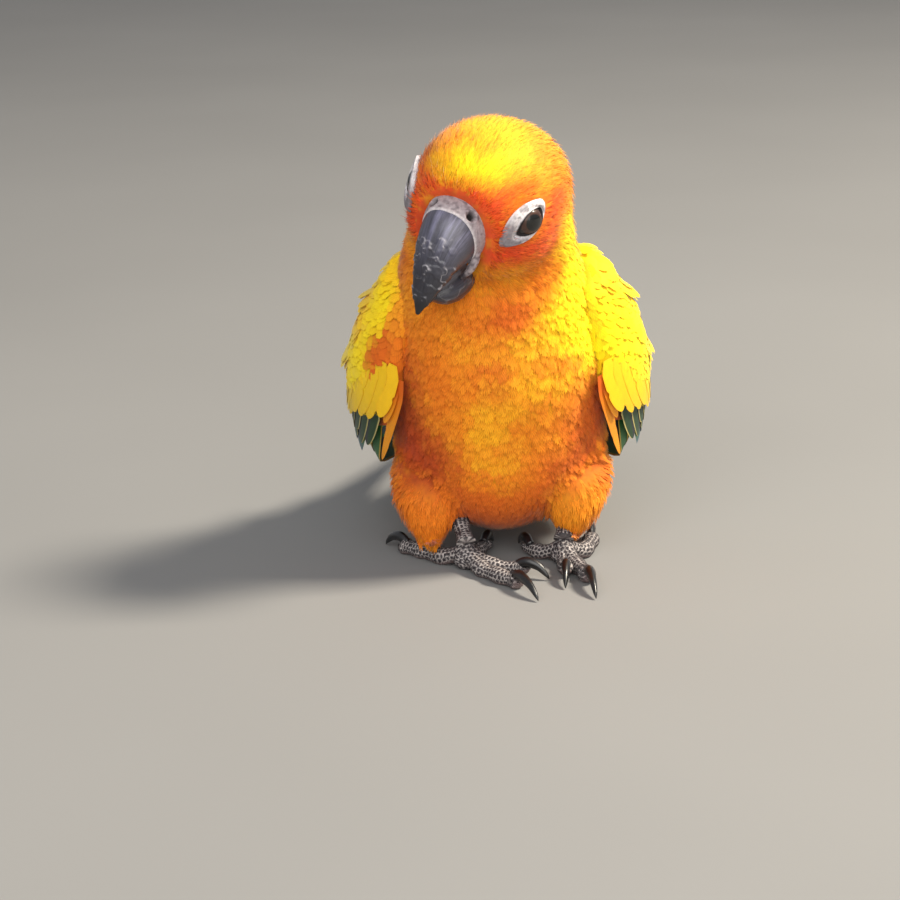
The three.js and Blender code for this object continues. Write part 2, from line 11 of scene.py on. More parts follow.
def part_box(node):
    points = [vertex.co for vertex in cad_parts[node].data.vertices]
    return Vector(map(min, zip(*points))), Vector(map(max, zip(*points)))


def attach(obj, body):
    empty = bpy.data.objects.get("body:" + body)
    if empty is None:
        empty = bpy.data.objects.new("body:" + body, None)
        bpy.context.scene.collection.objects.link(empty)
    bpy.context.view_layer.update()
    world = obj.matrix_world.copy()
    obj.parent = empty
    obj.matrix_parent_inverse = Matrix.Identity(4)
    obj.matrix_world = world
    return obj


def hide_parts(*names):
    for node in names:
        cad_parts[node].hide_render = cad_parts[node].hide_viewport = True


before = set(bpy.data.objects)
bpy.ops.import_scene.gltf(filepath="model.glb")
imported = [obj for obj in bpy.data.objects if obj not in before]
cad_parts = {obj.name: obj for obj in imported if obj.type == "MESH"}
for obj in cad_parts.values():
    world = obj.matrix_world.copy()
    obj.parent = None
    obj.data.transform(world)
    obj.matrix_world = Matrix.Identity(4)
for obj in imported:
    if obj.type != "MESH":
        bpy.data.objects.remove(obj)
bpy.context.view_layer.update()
print("frame loaded")


# Numbers and curves

def hexColour(code):
    # sRGB hex to linear red, green and blue
    parts = np.array([int(code[i:i + 2], 16) for i in (1, 3, 5)]) / 255
    return np.where(parts <= 0.04045, parts / 12.92, ((parts + 0.055) / 1.055) ** 2.4)


def mix(a, b, t):
    return a + (b - a) * t


def smooth(t):
    # 3t² - 2t³ between 0 and 1
    t = np.clip(t, 0, 1)
    return t * t * (3 - 2 * t)


def unit(vectors):
    return vectors / np.maximum(np.linalg.norm(vectors, axis=-1, keepdims=True), 1e-9)


def along(rows, t):
    # Catmull-Rom curve through the rows, read at every t from 0 to 1
    rows = np.asarray(rows, float)
    padded = np.concatenate([[2 * rows[0] - rows[1]], rows, [2 * rows[-1] - rows[-2]]])
    place = np.clip(t, 0, 1) * (len(rows) - 1)
    i = np.minimum(place.astype(int), len(rows) - 2)
    f = (place - i).reshape(place.shape + (1,) * (rows.ndim - 1))
    a, b, c, d = padded[i], padded[i + 1], padded[i + 2], padded[i + 3]
    return b + 0.5 * f * (c - a + f * (2 * a - 5 * b + 4 * c - d + f * (3 * (b - c) + d - a)))


def noise(points, size, seed):
    # Smooth noise from 0 to 1: hashed values at the corners of a cubic lattice, blended by 3f² - 2f³
    place = np.asarray(points, float) / size + 31.7 * (seed + 1)
    whole = np.floor(place).astype(np.int64)
    part = smooth(place - whole)
    total = 0
    for corner in np.ndindex(2, 2, 2):
        key = (whole + corner) @ np.array([73856093, 19349663, 83492791]) & 0xffffffff
        key = (key ^ (key >> 13)) * 1274126177 & 0xffffffff
        value = ((key ^ (key >> 15)) & 0xffff) / 65535
        total = total + value * np.where(corner, part, 1 - part).prod(-1)
    return total


# Meshes

def outward(points, faces):
    # The faces of a closed mesh, turned so that its volume is positive
    a, b, c = (points[faces[:, k]] for k in range(3))
    volume = np.einsum("ij,ij->i", a, np.cross(b, c)).sum()
    return faces if volume > 0 else faces[:, ::-1]


def ringGrid(start, end, rows, columns):
    # Two parameters on a grid: t from start to end down the rows, and the angle round each ring
    angle = np.linspace(0, 2 * np.pi, columns, endpoint=False)
    return np.meshgrid(np.linspace(start, end, rows), angle, indexing="ij")


def gridFaces(rows, columns, closed=True):
    # Two triangles for every cell of a grid whose columns run round when it is closed
    i, j = np.meshgrid(np.arange(rows - 1), np.arange(columns - (not closed)), indexing="ij")
    a = (i * columns + j).ravel()
    b = (i * columns + (j + 1) % columns).ravel()
    return np.vstack([np.c_[a, b, b + columns], np.c_[a, b + columns, a + columns]])


def tube(grid, **values):
    # Rings closed round and by a fan at either end
    rows, columns = grid.shape[:2]
    points = np.vstack([grid.reshape(-1, 3), grid[0].mean(0), grid[-1].mean(0)])
    k = np.arange(columns)
    after = (k + 1) % columns
    last = (rows - 1) * columns
    faces = np.vstack([
        gridFaces(rows, columns),
        np.c_[after, k, np.full(columns, rows * columns)],
        np.c_[k + last, after + last, np.full(columns, rows * columns + 1)],
    ])
    part = {"points": points, "faces": outward(points, faces)}
    for name, value in values.items():
        flat = value.reshape(rows * columns, -1)
        part[name] = np.vstack([flat, flat[:columns].mean(0), flat[-columns:].mean(0)])
    return part


def ringMesh(grid, **values):
    # A grid closed both ways
    rows, columns = grid.shape[:2]
    wrapped = gridFaces(rows + 1, columns) % (rows * columns)
    points = grid.reshape(-1, 3)
    part = {"points": points, "faces": outward(points, wrapped)}
    part.update({name: value.reshape(rows * columns, -1) for name, value in values.items()})
    return part


def joined(parts):
    # Several meshes as one, each part keeping its own values
    starts = np.cumsum([0] + [len(part["points"]) for part in parts])
    whole = {"faces": np.vstack([part["faces"] + start for part, start in zip(parts, starts)])}
    for name in parts[0]:
        if name != "faces":
            whole[name] = np.vstack([part[name] for part in parts])
    return whole


def meshPiece(name, part, material, nodes=()):
    # Whole arrays set into a mesh, in metres in the row's frame, with its colours and its UV maps. Where
    # the part has normals of its own, the faces that look the other way take them turned round
    faces = np.ascontiguousarray(part["faces"], dtype=np.int32)
    mesh = bpy.data.meshes.new(name)
    mesh.vertices.add(len(part["points"]))
    mesh.vertices.foreach_set("co", toRow(part["points"]).ravel())
    mesh.loops.add(faces.size)
    mesh.loops.foreach_set("vertex_index", faces.ravel())
    mesh.polygons.add(len(faces))
    mesh.polygons.foreach_set("loop_start", np.arange(0, faces.size, 3, dtype=np.int32))
    mesh.polygons.foreach_set("use_smooth", np.ones(len(faces), dtype=bool))
    for key, layer in (("vane", "vane"), ("bake", "OFBake")):
        if key in part:
            spots = mesh.uv_layers.new(name=layer)
            spots.data.foreach_set("uv", part[key][faces.ravel()].ravel())
    if "colour" in part:
        colours = mesh.color_attributes.new("plumage", "FLOAT_COLOR", "POINT")
        full = np.c_[part["colour"], np.ones(len(part["colour"]))]
        colours.data.foreach_set("color", full.ravel())
    mesh.update(calc_edges=True)
    mesh.materials.append(material)
    if "normal" in part:
        corners, bent = part["points"][faces], part["normal"][faces]
        plane = np.cross(corners[:, 1] - corners[:, 0], corners[:, 2] - corners[:, 0])
        under = (bent.sum(1) * plane).sum(1) < 0
        bent = np.where(under[:, None, None], -bent, bent)
        mesh.normals_split_custom_set(bent.reshape(-1, 3).tolist())
    if mesh.uv_layers:
        mesh.uv_layers[0].active_render = True
        mesh.uv_layers.active_index = 0
    piece = bpy.data.objects.new(name, mesh)
    bpy.context.collection.objects.link(piece)
    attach(piece, "root")
    if nodes:
        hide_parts(*nodes)
    print("made", name, len(faces), "triangles")
    return piece


# Head: its place, turn and oval form, as the frame has them

head = {"at": (-1.8, -8, 91.5), "yaw": -31.1, "pitch": 10.4, "roll": 14.5, "half": (18.7, 20.8, 19.2)}
eye = {"direction": (0.852, -0.478, 0.214), "ball": 4.8, "proud": {1: 0.9, -1: 0.0}, "opening": (3.6, 2.2)}
turn = [math.radians(head[name]) for name in ("yaw", "pitch", "roll")]
headTurn = np.array(Matrix.Rotation(turn[0], 3, "Z") @ Matrix.Rotation(turn[1], 3, "X")
                    @ Matrix.Rotation(turn[2], 3, "Y"))


def onHead(points):
    return points @ headTurn.T + head["at"]


def offHead(points):
    return (points - head["at"]) @ headTurn


def skullAxes(direction):
    # Half widths of the skull towards a direction: fuller cheeks, and a face that narrows to the bill
    front = np.maximum(0, -direction[..., 1]) ** 2
    low = np.maximum(0, -direction[..., 2])
    cheek = np.exp(-8 * ((direction[..., 1] + 0.45) ** 2 + (direction[..., 2] + 0.5) ** 2))
    side, length, lift = head["half"]
    return np.stack([side * (1 - 0.1 * front + 0.06 * cheek), length * (1 - 0.04 * low),
                     lift * (1 - 0.06 * front * (1 - low))], -1)


def skullPoint(direction, more=0.0):
    # Point of the skull in the head's frame: the direction times the half widths, slightly squared
    square = 1 + 0.08 * (1 - (direction ** 4).sum(-1, keepdims=True))
    return direction * (skullAxes(direction) + more) * square


def skullLevel(points):
    # Distance in mm of points of the head's frame above the skull
    direction = unit(points)
    for _ in range(4):
        direction = unit(points / skullAxes(direction))
    surface = skullPoint(direction)
    return np.linalg.norm(points, axis=-1) - np.linalg.norm(surface, axis=-1)


def eyePlace(side):
    # Point of the skull under the eye, the way out of it, and the ball's centre, in the head's frame.
    # The right eye sits deeper, as in the photo
    surface = skullPoint(unit(np.array(eye["direction"])))
    out = unit(surface / np.array(head["half"]) ** 2)
    surface, out = surface * (side, 1, 1), out * (side, 1, 1)
    return surface, out, surface + out * (eye["proud"][side] - eye["ball"])


low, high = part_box("eye_left")
rowShift = np.array(low + high) / 2 - 0.001 * onHead(eyePlace(1)[2])


def toRow(points):
    return points * 0.001 + rowShift


# Trunk and thighs, as the frame has them

trunk = np.array([  # x, y and z of the centre, half width, depth to the back and depth to the belly
    [-1.2, -7, 88, 20, 17.5, 15], [-2, -2.5, 77.5, 22.2, 18, 18], [-0.8, 1, 67, 24.8, 19, 21],
    [0, 5, 56, 26.8, 20.5, 25.5], [0, 10, 45.5, 28, 21, 28.5], [0, 16.5, 36, 28.5, 20, 34],
    [0, 25.5, 28.5, 26, 17, 28.8], [0, 38, 23.8, 20.5, 13, 16.5], [0, 53, 20.5, 13, 8.5, 9],
    [0, 70, 17, 8.5, 4.5, 5],
])
thighs = {  # x, y and z of the centre, half width and half depth, from the flank down to the foot
    "right": np.array([[-14, 15, 33, 10, 11], [-16.5, 7, 23, 11.2, 12.5], [-17.6, 1.5, 14.5, 9.4, 9.6],
                       [-17.6, -2.6, 6.6, 4.8, 4.2]]),
    "left": np.array([[14, 15, 33, 10, 11], [17, 7, 23, 11, 12.5], [17.6, 2, 14.5, 9, 9.6],
                      [16.8, -0.6, 7, 4.8, 4.6]]),
}


def trunkHeading(t):
    # Direction of the trunk's centre line from the nape to the tail
    step = along(trunk[:, :3], np.minimum(t + 0.01, 1)) - along(trunk[:, :3], np.maximum(t - 0.01, 0))
    return unit(step * (0, 1, 1))


def trunkPoint(t, angle, more=0.0):
    # Oval section at t: half width to the sides, and its own depth to the back and to the belly
    row = along(trunk, t)
    heading = trunkHeading(t)
    back = np.stack([0 * t, -heading[..., 2], heading[..., 1]], -1)
    deep = np.where(np.cos(angle) > 0, row[..., 4], row[..., 5]) + more
    point = row[..., :3] + back * (np.cos(angle) * deep)[..., None]
    point[..., 0] += np.sin(angle) * (row[..., 3] + more)
    return point


def thighPoint(name, t, angle, more=0.0):
    row = along(thighs[name], t)
    round_ = np.stack([np.sin(angle) * (row[..., 3] + more), np.cos(angle) * (row[..., 4] + more), 0 * t], -1)
    return row[..., :3] + round_


# Folded wing: upper edge, crest and lower edge at stations from the shoulder to the tip

wingStations = np.array([
    [[16, 9, 82.5], [24.8, 1, 77.5], [21.2, -10.5, 71]],
    [[16, 18, 75], [32.2, 7, 65.5], [23.4, -11, 58.5]],
    [[15, 24.5, 65], [36.6, 13, 53], [25.2, -8, 45]],
    [[14, 31, 54], [36.8, 21.5, 41], [27.6, -2, 33]],
    [[11, 39, 43.5], [33.4, 33, 31], [29.4, 10, 19.5]],
    [[6, 57, 32], [24, 53, 25], [24.5, 36, 14.5]],
    [[2.2, 84, 21.5], [13, 79, 20], [17.5, 64, 13.5]],
    [[0.6, 116, 15], [4.5, 115, 14.6], [9, 111, 13]],
])
wingDepth = {"outer": 1.4, "arm": 9.0, "hand": 1.3, "reach": 0.5}  # mm, and the share of its length


def wingPoint(u, v):
    # Parabola across the wing through its upper edge, its crest and its lower edge
    upper, crest, lower = np.moveaxis(along(wingStations, u), -2, 0)
    v = v[..., None]
    return upper * (1 - v) * (1 - 2 * v) + crest * 4 * v * (1 - v) + lower * v * (2 * v - 1)


def wingSurface(u, v):
    # Point, outward normal, heading to the tip and width in mm of the left wing's guide
    across = wingPoint(u, v + 0.01) - wingPoint(u, v - 0.01)
    onward = wingPoint(np.minimum(u + 0.01, 1), v) - wingPoint(np.maximum(u - 0.01, 0), v)
    out = unit(np.cross(onward, across))
    out = np.where(out[..., :1] < 0, -out, out)
    return wingPoint(u, v), out, unit(onward), np.linalg.norm(across, axis=-1) / 0.02


def wingCore():
    # Rounded slab under the vanes: outer face on the guide, inner face at the arm's depth
    u, angle = ringGrid(0, 1, 40, 48)
    ends = np.sqrt(np.clip(1 - (1 - np.minimum(u / 0.1, 1)) ** 2, 0.02, 1))
    ends = ends * np.sqrt(np.clip(1 - np.maximum(u - 0.85, 0) / 0.15, 0.02, 1))
    u = wingDepth["reach"] * u
    sine, cosine = np.sin(angle), np.cos(angle)
    v = 0.5 - 0.46 * ends * np.sign(cosine) * np.abs(cosine) ** 0.7
    depth = mix(wingDepth["arm"], wingDepth["hand"], np.clip((u - 0.22) / 0.22, 0, 1))
    inward = wingDepth["outer"] + depth * (0.5 - 0.5 * ends * np.sign(sine) * np.abs(sine) ** 0.7)
    point, out, _, _ = wingSurface(u, v)
    return point - out * inward[..., None]


# Markings: each mark is a place, its reach and the colour there, laid over one another in this order

# Colours of the coat; the brightest yellow is a lit copy of yellow, for painted sunlight
palette = {name: hexColour(code) for name, code in {
    "yellow": "#fadb0a", "paintedSunlitYellow": "#fce806", "gold": "#f8b914", "amber": "#f09a16", "orange": "#e67e12",
    "rust": "#d4600f", "fire": "#e85220", "ember": "#b03c0c", "olive": "#8f8f1e",
    "green": "#1f6a2a", "deepGreen": "#0c3814", "blue": "#1c4a86", "ink": "#101c26", "cream": "#f1dc8a",
}.items()}

def bothSides(place, *rest):
    # The same mark on the left and on the right
    return (place, *rest), ((-place[0], *place[1:]), *rest)


headMarks = [  # x, y and z on the head, reach in mm, colour, strength
    ((0, 2, 17), (20, 17, 13), "amber", 1.0),
    ((-2, 0, 19), (8, 6, 5), "gold", 0.8),
    ((8, -6, 17), (5, 4.5, 4), "gold", 0.9),
    ((10, -9, 14), (3, 3, 2), "amber", 0.6),
    ((12, 3, 14), (4, 4, 4), "orange", 0.5),
    ((-13, 3, 13), (4, 5, 5), "orange", 0.6),
    ((17, 4, 8), (3, 5, 6), "orange", 0.7),
    ((0, 20, 4), (16, 8, 16), "yellow", 0.9),
    ((20, 7, -8), (5, 6, 11), "yellow", 0.9),
    ((-19, 7, -8), (5, 7, 11), "amber", 0.7),
    ((0, -19, 8.2), (11, 5, 3.2), "fire", 0.9),
    ((8, -17.5, 7.5), (5, 5, 4), "fire", 0.9),
    ((-10, -17, 6.5), (4.5, 5, 4), "fire", 0.9),
    *bothSides((14, -9, 10), (4, 4, 2.4), "rust", 0.8),
    *bothSides((17.5, -1, 5.5), (4, 4, 4), "fire", 0.8),
    *bothSides((12, -16, -2), (7, 6, 6), "fire", 1.0),
    *bothSides((14, -13, -4), (6, 6, 3.4), "fire", 0.9),
    ((18.4, -3, -3), (4, 5, 4), "fire", 0.7),
    ((-2.7, -14.8, 14), (6.4, 5.2, 3.4), "yellow", 1.0),
    ((4.6, -14.2, 14), (4.2, 4.4, 2.6), "yellow", 0.9),
    ((-8.4, -13, 13), (4, 4, 3), "gold", 0.8),
    *bothSides((13, -12, -11.5), (8, 6, 4), "amber", 0.9),
    ((10, -14, -14), (3.4, 4, 2), "rust", 0.4),
    ((17, -6, -13), (3, 4, 4), "orange", 0.7),
    ((14, -10, -17), (6, 6, 3), "amber", 0.6),
]
bodyMarks = [  # x, y and z on the body, reach in mm, colour, strength
    ((0, 34, 60), (40, 24, 50), "yellow", 0.9),
    ((0, 50, 30), (26, 22, 12), "amber", 0.8),
    # Bright yellow over the bird's left breast and shoulder, the side the sun lamp lights: its yellow with
    # painted sunlight
    ((20, -10, 70), (8, 11, 12), "paintedSunlitYellow", 1.0),
    ((18, -12, 62), (8, 9, 9), "yellow", 0.95),
    ((24, -6, 56), (5, 9, 9), "paintedSunlitYellow", 0.9),
    ((10, -17, 57), (8, 6, 4), "gold", 0.9),
    ((-22, -6, 70), (5, 10, 8), "amber", 0.8),
    ((-12, -14, 74), (8, 8, 6), "orange", 0.7),
    ((3, -19, 69), (8, 6, 5), "rust", 0.7),
    ((2, -19, 64.5), (6, 6, 4), "rust", 0.9),
    ((12, -16, 75), (6, 8, 7), "orange", 0.8),
    ((7, -19, 73), (4, 6, 3), "rust", 0.6),
    ((-24, -8, 82), (5, 8, 9), "rust", 0.8),
    ((-3, -18.6, 50.8), (7, 6, 2.2), "rust", 0.85),
    ((14, -15, 51), (8, 8, 2.6), "rust", 0.7),
    ((-14, -15, 47), (9, 8, 5), "orange", 0.8),
    ((11, -16, 46), (9, 8, 3), "gold", 0.8),
    ((-27, -5, 58), (5, 8, 6), "rust", 0.9),
    ((-19, -12, 53), (9, 9, 13), "orange", 0.9),
    ((-27, -7, 50), (6, 8, 8), "rust", 0.7),
    ((-24, -2, 36), (8, 14, 13), "ember", 0.9),
    ((-14, -13, 38), (6, 8, 8), "orange", 0.7),
    ((24, -3, 37), (6, 12, 12), "rust", 0.95),
    ((18, -8, 37), (5, 8, 7), "rust", 0.6),
    ((0, -9, 16), (34, 26, 11), "rust", 0.95),
    ((0, -12, 25), (32, 20, 6), "orange", 0.7),
    ((-19, -6, 28), (9, 10, 8), "ember", 0.9),
    ((17, -8, 26), (8, 10, 5), "ember", 0.6),
    ((-3.6, -15.6, 36), (5, 8, 5), "gold", 0.65),
    ((4, -15.6, 31), (5, 8, 3), "amber", 0.8),
    ((-2, -14, 26), (6, 8, 3), "gold", 0.6),
    ((-20, -4, 12), (8, 10, 7), "orange", 0.9),
    ((19, -4, 13), (8, 10, 7), "amber", 0.8),
]


def paint(colour, points, marks, seed):
    # Every mark pulls the colour to its own where the place is within its reach, with a ragged edge
    ragged = noise(points, 2.4, seed) + 0.6 * noise(points, 1.0, seed + 1) - 0.8
    for centre, reach, name, strength in marks:
        away = np.linalg.norm((points - centre) / np.array(reach), axis=1)
        share = strength * smooth((1.45 - away - 0.5 * ragged) / 0.8)
        colour = mix(colour, palette[name], share[:, None])
    return colour


def markings(points):
    # Colour of the coat at points of the body, the head's own marks blended in over the neck
    local = offHead(points)
    nearHead = smooth((5.5 - skullLevel(local)) / 5) * smooth((points[:, 2] - 66) / 8)
    base = np.broadcast_to(palette["amber"], points.shape)
    blotch = noise(points * (1, 1, 1.8), 8.0, 3)
    base = mix(base, palette["gold"], 0.5 * smooth(2.6 * (1 - blotch) - 1.3)[:, None])
    base = mix(base, palette["orange"], smooth(2.6 * blotch - 1.1)[:, None])
    body = paint(base, points, bodyMarks, 5)
    onTop = paint(np.broadcast_to(palette["orange"], points.shape), local, headMarks, 9)
    colour = mix(body, onTop, nearHead[:, None])
    dull = 0.5 * smooth(2.5 * noise(points, 2.6, 11) - 1.1)[:, None]
    colour = mix(colour, colour * (0.97, 0.76, 0.7), dull)
    fleck = smooth(3.2 * noise(points, 1.5, 13) - 1.8)[:, None]
    return mix(colour, palette["gold"], 0.45 * fleck * nearHead[:, None])


# Materials

def node(tree, kind, settings=None, **links):
    # A node with its settings, and its sockets linked or set by name
    made = tree.nodes.new(kind)
    for name, value in (settings or {}).items():
        setattr(made, name, value)
    for name, value in links.items():
        socket = made.inputs[int(name[1:])] if name[0] == "_" else made.inputs[name]
        if isinstance(value, bpy.types.NodeSocket):
            tree.links.new(value, socket)
        else:
            socket.default_value = value
    return made


def newMaterial(name, **settings):
    # A material with one Principled shader, whose constant sockets are set here
    material = bpy.data.materials.new(name)
    material.use_nodes = True
    tree = material.node_tree
    shader = next(n for n in tree.nodes if n.type == "BSDF_PRINCIPLED")
    for socket, value in settings.items():
        shader.inputs[socket.replace("_", " ")].default_value = value
    return material, tree, shader


def painted(tree, shader, level, low, high, span=(0.3, 0.7)):
    # The piece's own colour, scaled from low to high as the level goes over its span
    colour = node(tree, "ShaderNodeVertexColor", {"layer_name": "plumage"}).outputs[0]
    tone = node(tree, "ShaderNodeMapRange", _0=level, _1=span[0], _2=span[1], _3=low, _4=high).outputs[0]
    shade = node(tree, "ShaderNodeVectorMath", {"operation": "SCALE"}, _0=colour, Scale=tone).outputs[0]
    tree.links.new(shade, shader.inputs["Base Color"])


def raised(tree, shader, height, strength):
    # Relief of a tenth of a millimetre
    bump = node(tree, "ShaderNodeBump", Strength=strength, Distance=0.0001, Height=height).outputs[0]
    tree.links.new(bump, shader.inputs["Normal"])


def barbs(tree, spacing, lean):
    # Barbs of a vane: sine stripes that leave the shaft at an angle of lean degrees, from a UV map in mm
    # along and across, with their phase wandering so that they clump
    addTo, place = {"operation": "MULTIPLY_ADD"}, node(tree, "ShaderNodeTexCoord").outputs["Object"]
    spot = node(tree, "ShaderNodeUVMap", {"uv_map": "vane"}).outputs[0]
    parts = node(tree, "ShaderNodeSeparateXYZ", _0=spot)
    across = node(tree, "ShaderNodeMath", {"operation": "ABSOLUTE"}, _0=parts.outputs[1]).outputs[0]
    steep = 2 * math.pi / spacing * math.cos(math.radians(lean))
    onward = 2 * math.pi / spacing * math.sin(math.radians(lean))
    phase = node(tree, "ShaderNodeMath", {"operation": "MULTIPLY"}, _0=across, _1=-steep).outputs[0]
    phase = node(tree, "ShaderNodeMath", addTo, _0=parts.outputs[0], _1=onward, _2=phase).outputs[0]
    wander = node(tree, "ShaderNodeTexNoise", Vector=place, Scale=700.0, Detail=1.0).outputs[0]
    phase = node(tree, "ShaderNodeMath", addTo, _0=wander, _1=5.0, _2=phase).outputs[0]
    return node(tree, "ShaderNodeMath", {"operation": "SINE"}, _0=phase).outputs[0]


def plumageMaterial(name, spacing, lean, roughness, contrast, sheen):
    # Feather keratin: soft, slightly silky vanes of fine barbs. The barbs are about 0.3 mm apart on the
    # bird and are drawn coarser here so that they show
    material, tree, shader = newMaterial(name, Roughness=roughness, IOR=1.54, Sheen_Weight=sheen,
                                         Sheen_Roughness=0.4, Specular_IOR_Level=0.28)
    addTo, place = {"operation": "MULTIPLY_ADD"}, node(tree, "ShaderNodeTexCoord").outputs["Object"]
    grain = node(tree, "ShaderNodeTexNoise", Vector=place, Scale=900.0, Detail=2.0).outputs[0]
    tone = node(tree, "ShaderNodeMath", addTo, _0=barbs(tree, spacing, lean), _1=contrast, _2=0.5).outputs[0]
    tone = node(tree, "ShaderNodeMath", addTo, _0=grain, _1=0.5, _2=tone).outputs[0]
    painted(tree, shader, tone, 0.8, 1.1, (0.35, 1.1))
    raised(tree, shader, tone, 0.25)
    return material


def hornMaterial(name, roughness, coat):
    # Keratin horn: slate with streaks along the growth, satin where worn and paler on flakes. The bill's
    # bluish sheen is painted into its colours
    material, tree, shader = newMaterial(name, Roughness=roughness, IOR=1.54, Coat_Weight=coat,
                                         Coat_Roughness=0.22)
    spot = node(tree, "ShaderNodeUVMap", {"uv_map": "vane"}).outputs[0]
    spot = node(tree, "ShaderNodeMapping", Vector=spot, Scale=(0.35, 4.5, 1.0)).outputs[0]
    streak = node(tree, "ShaderNodeTexNoise", Vector=spot, Scale=1.0, Detail=5.0, Roughness=0.65).outputs[0]
    painted(tree, shader, streak, 0.7, 1.35)
    worn = node(tree, "ShaderNodeMapRange", _0=streak, _1=0.3, _2=0.7, _3=roughness - 0.1,
                _4=roughness + 0.15).outputs[0]
    tree.links.new(worn, shader.inputs["Roughness"])
    raised(tree, shader, streak, 0.3)
    return material


def skinMaterial(name, roughness, grain, strength):
    # Bare keratin skin: matt, with fine pores about as wide as the grain given in metres
    material, tree, shader = newMaterial(name, Roughness=roughness, IOR=1.45, Specular_IOR_Level=0.35)
    place = node(tree, "ShaderNodeTexCoord").outputs["Object"]
    pores = node(tree, "ShaderNodeTexNoise", Vector=place, Scale=1 / grain, Detail=3.0).outputs[0]
    painted(tree, shader, pores, 0.8, 1.15)
    raised(tree, shader, pores, strength)
    return material


def eyeMaterial():
    # Wet cornea over a dark brown iris: sharp highlight, dark pupil
    material, tree, shader = newMaterial("wetCornea", Roughness=0.35, IOR=1.38, Coat_Weight=1.0,
                                         Coat_Roughness=0.03, Coat_IOR=1.38)
    place = node(tree, "ShaderNodeTexCoord").outputs["Object"]
    fibre = node(tree, "ShaderNodeTexNoise", Vector=place, Scale=1800.0, Detail=2.0).outputs[0]
    painted(tree, shader, fibre, 0.75, 1.25)
    return material


softPlumage = plumageMaterial("softContourFeathers", 0.45, 22, 0.75, 0.26, 0.2)
vanePlumage = plumageMaterial("smoothFlightVanes", 0.6, 38, 0.5, 0.24, 0.04)
billHorn = hornMaterial("slateBillKeratin", 0.38, 0.25)
clawHorn = hornMaterial("polishedClawKeratin", 0.32, 0.35)
bareSkin = skinMaterial("powderyBareSkin", 0.62, 0.0006, 0.4)
scaleSkin = skinMaterial("dryFootScales", 0.55, 0.0005, 0.5)
cornea = eyeMaterial()


# Skin under the coat: head, trunk and thighs run into one, inside the frame's solids by the coat's depth

coatDepth = {"head": 1.0, "body": 1.8, "thigh": 1.4, "bill": 2.3}  # mm; at the bill it is drawn back


def skinMesh():
    # Closed grids of skull, trunk and thighs, remeshed into one and relaxed
    t, angle = ringGrid(0.02, np.pi - 0.02, 60, 90)
    direction = np.stack([np.sin(t) * np.cos(angle), np.sin(t) * np.sin(angle), np.cos(t)], -1)
    parts = [tube(onHead(skullPoint(direction, -coatDepth["head"])))]
    parts.append(tube(trunkPoint(*ringGrid(0, 0.97, 90, 90), -coatDepth["body"])))
    parts += [tube(thighPoint(name, *ringGrid(0, 1, 40, 60), -coatDepth["thigh"])) for name in thighs]
    whole = joined(parts)
    mesh = bpy.data.meshes.new("skinForm")
    mesh.from_pydata((whole["points"] * 0.001).tolist(), [], whole["faces"].tolist())
    form = bpy.data.objects.new("skinForm", mesh)
    bpy.context.collection.objects.link(form)
    remesh = form.modifiers.new("remesh", "REMESH")
    remesh.mode, remesh.voxel_size = "VOXEL", 0.001  # 1 mm
    relax = form.modifiers.new("relax", "SMOOTH")
    relax.factor, relax.iterations = 0.5, 14
    shaped = form.evaluated_get(bpy.context.evaluated_depsgraph_get()).to_mesh()
    shaped.calc_loop_triangles()
    points = np.empty(3 * len(shaped.vertices))
    shaped.vertices.foreach_get("co", points)
    faces = np.empty(3 * len(shaped.loop_triangles), dtype=np.int32)
    shaped.loop_triangles.foreach_get("vertices", faces)
    local = offHead(1000 * points.reshape(-1, 3))
    local[:, 1] += coatDepth["bill"] * smooth((1.45 - billLevel(local)) / 0.5)
    part = {"points": onHead(local), "faces": faces.reshape(-1, 3)}
    bpy.data.objects.remove(form)
    bpy.data.meshes.remove(mesh)
    return part


def billLevel(local):
    # Below 1 within the root of the bill, whose oval the skin draws back from
    return np.hypot(local[:, 0] / 7.4, (local[:, 2] + 2.2) / 8.4) + np.where(local[:, 1] < -8, 0, 9)


skin = skinMesh()
# The skin takes the coat's colours a fifth darker: painted shade where it shows between the feathers
skin["colour"] = markings(skin["points"]) * 0.8
skin["vane"] = np.zeros((len(skin["points"]), 2))
meshPiece("skin", skin, softPlumage,
          ("head", "neck", "torso", "thigh_left", "thigh_right"))
skinTree = BVHTree.FromPolygons(skin["points"].tolist(), skin["faces"].tolist())
cores = {"left": tube(wingCore())}
cores["right"] = {"points": cores["left"]["points"] * (-1, 1, 1), "faces": cores["left"]["faces"][:, ::-1]}
coreTrees = {name: BVHTree.FromPolygons(core["points"].tolist(), core["faces"].tolist())
             for name, core in cores.items()}


# Feathers of the coat

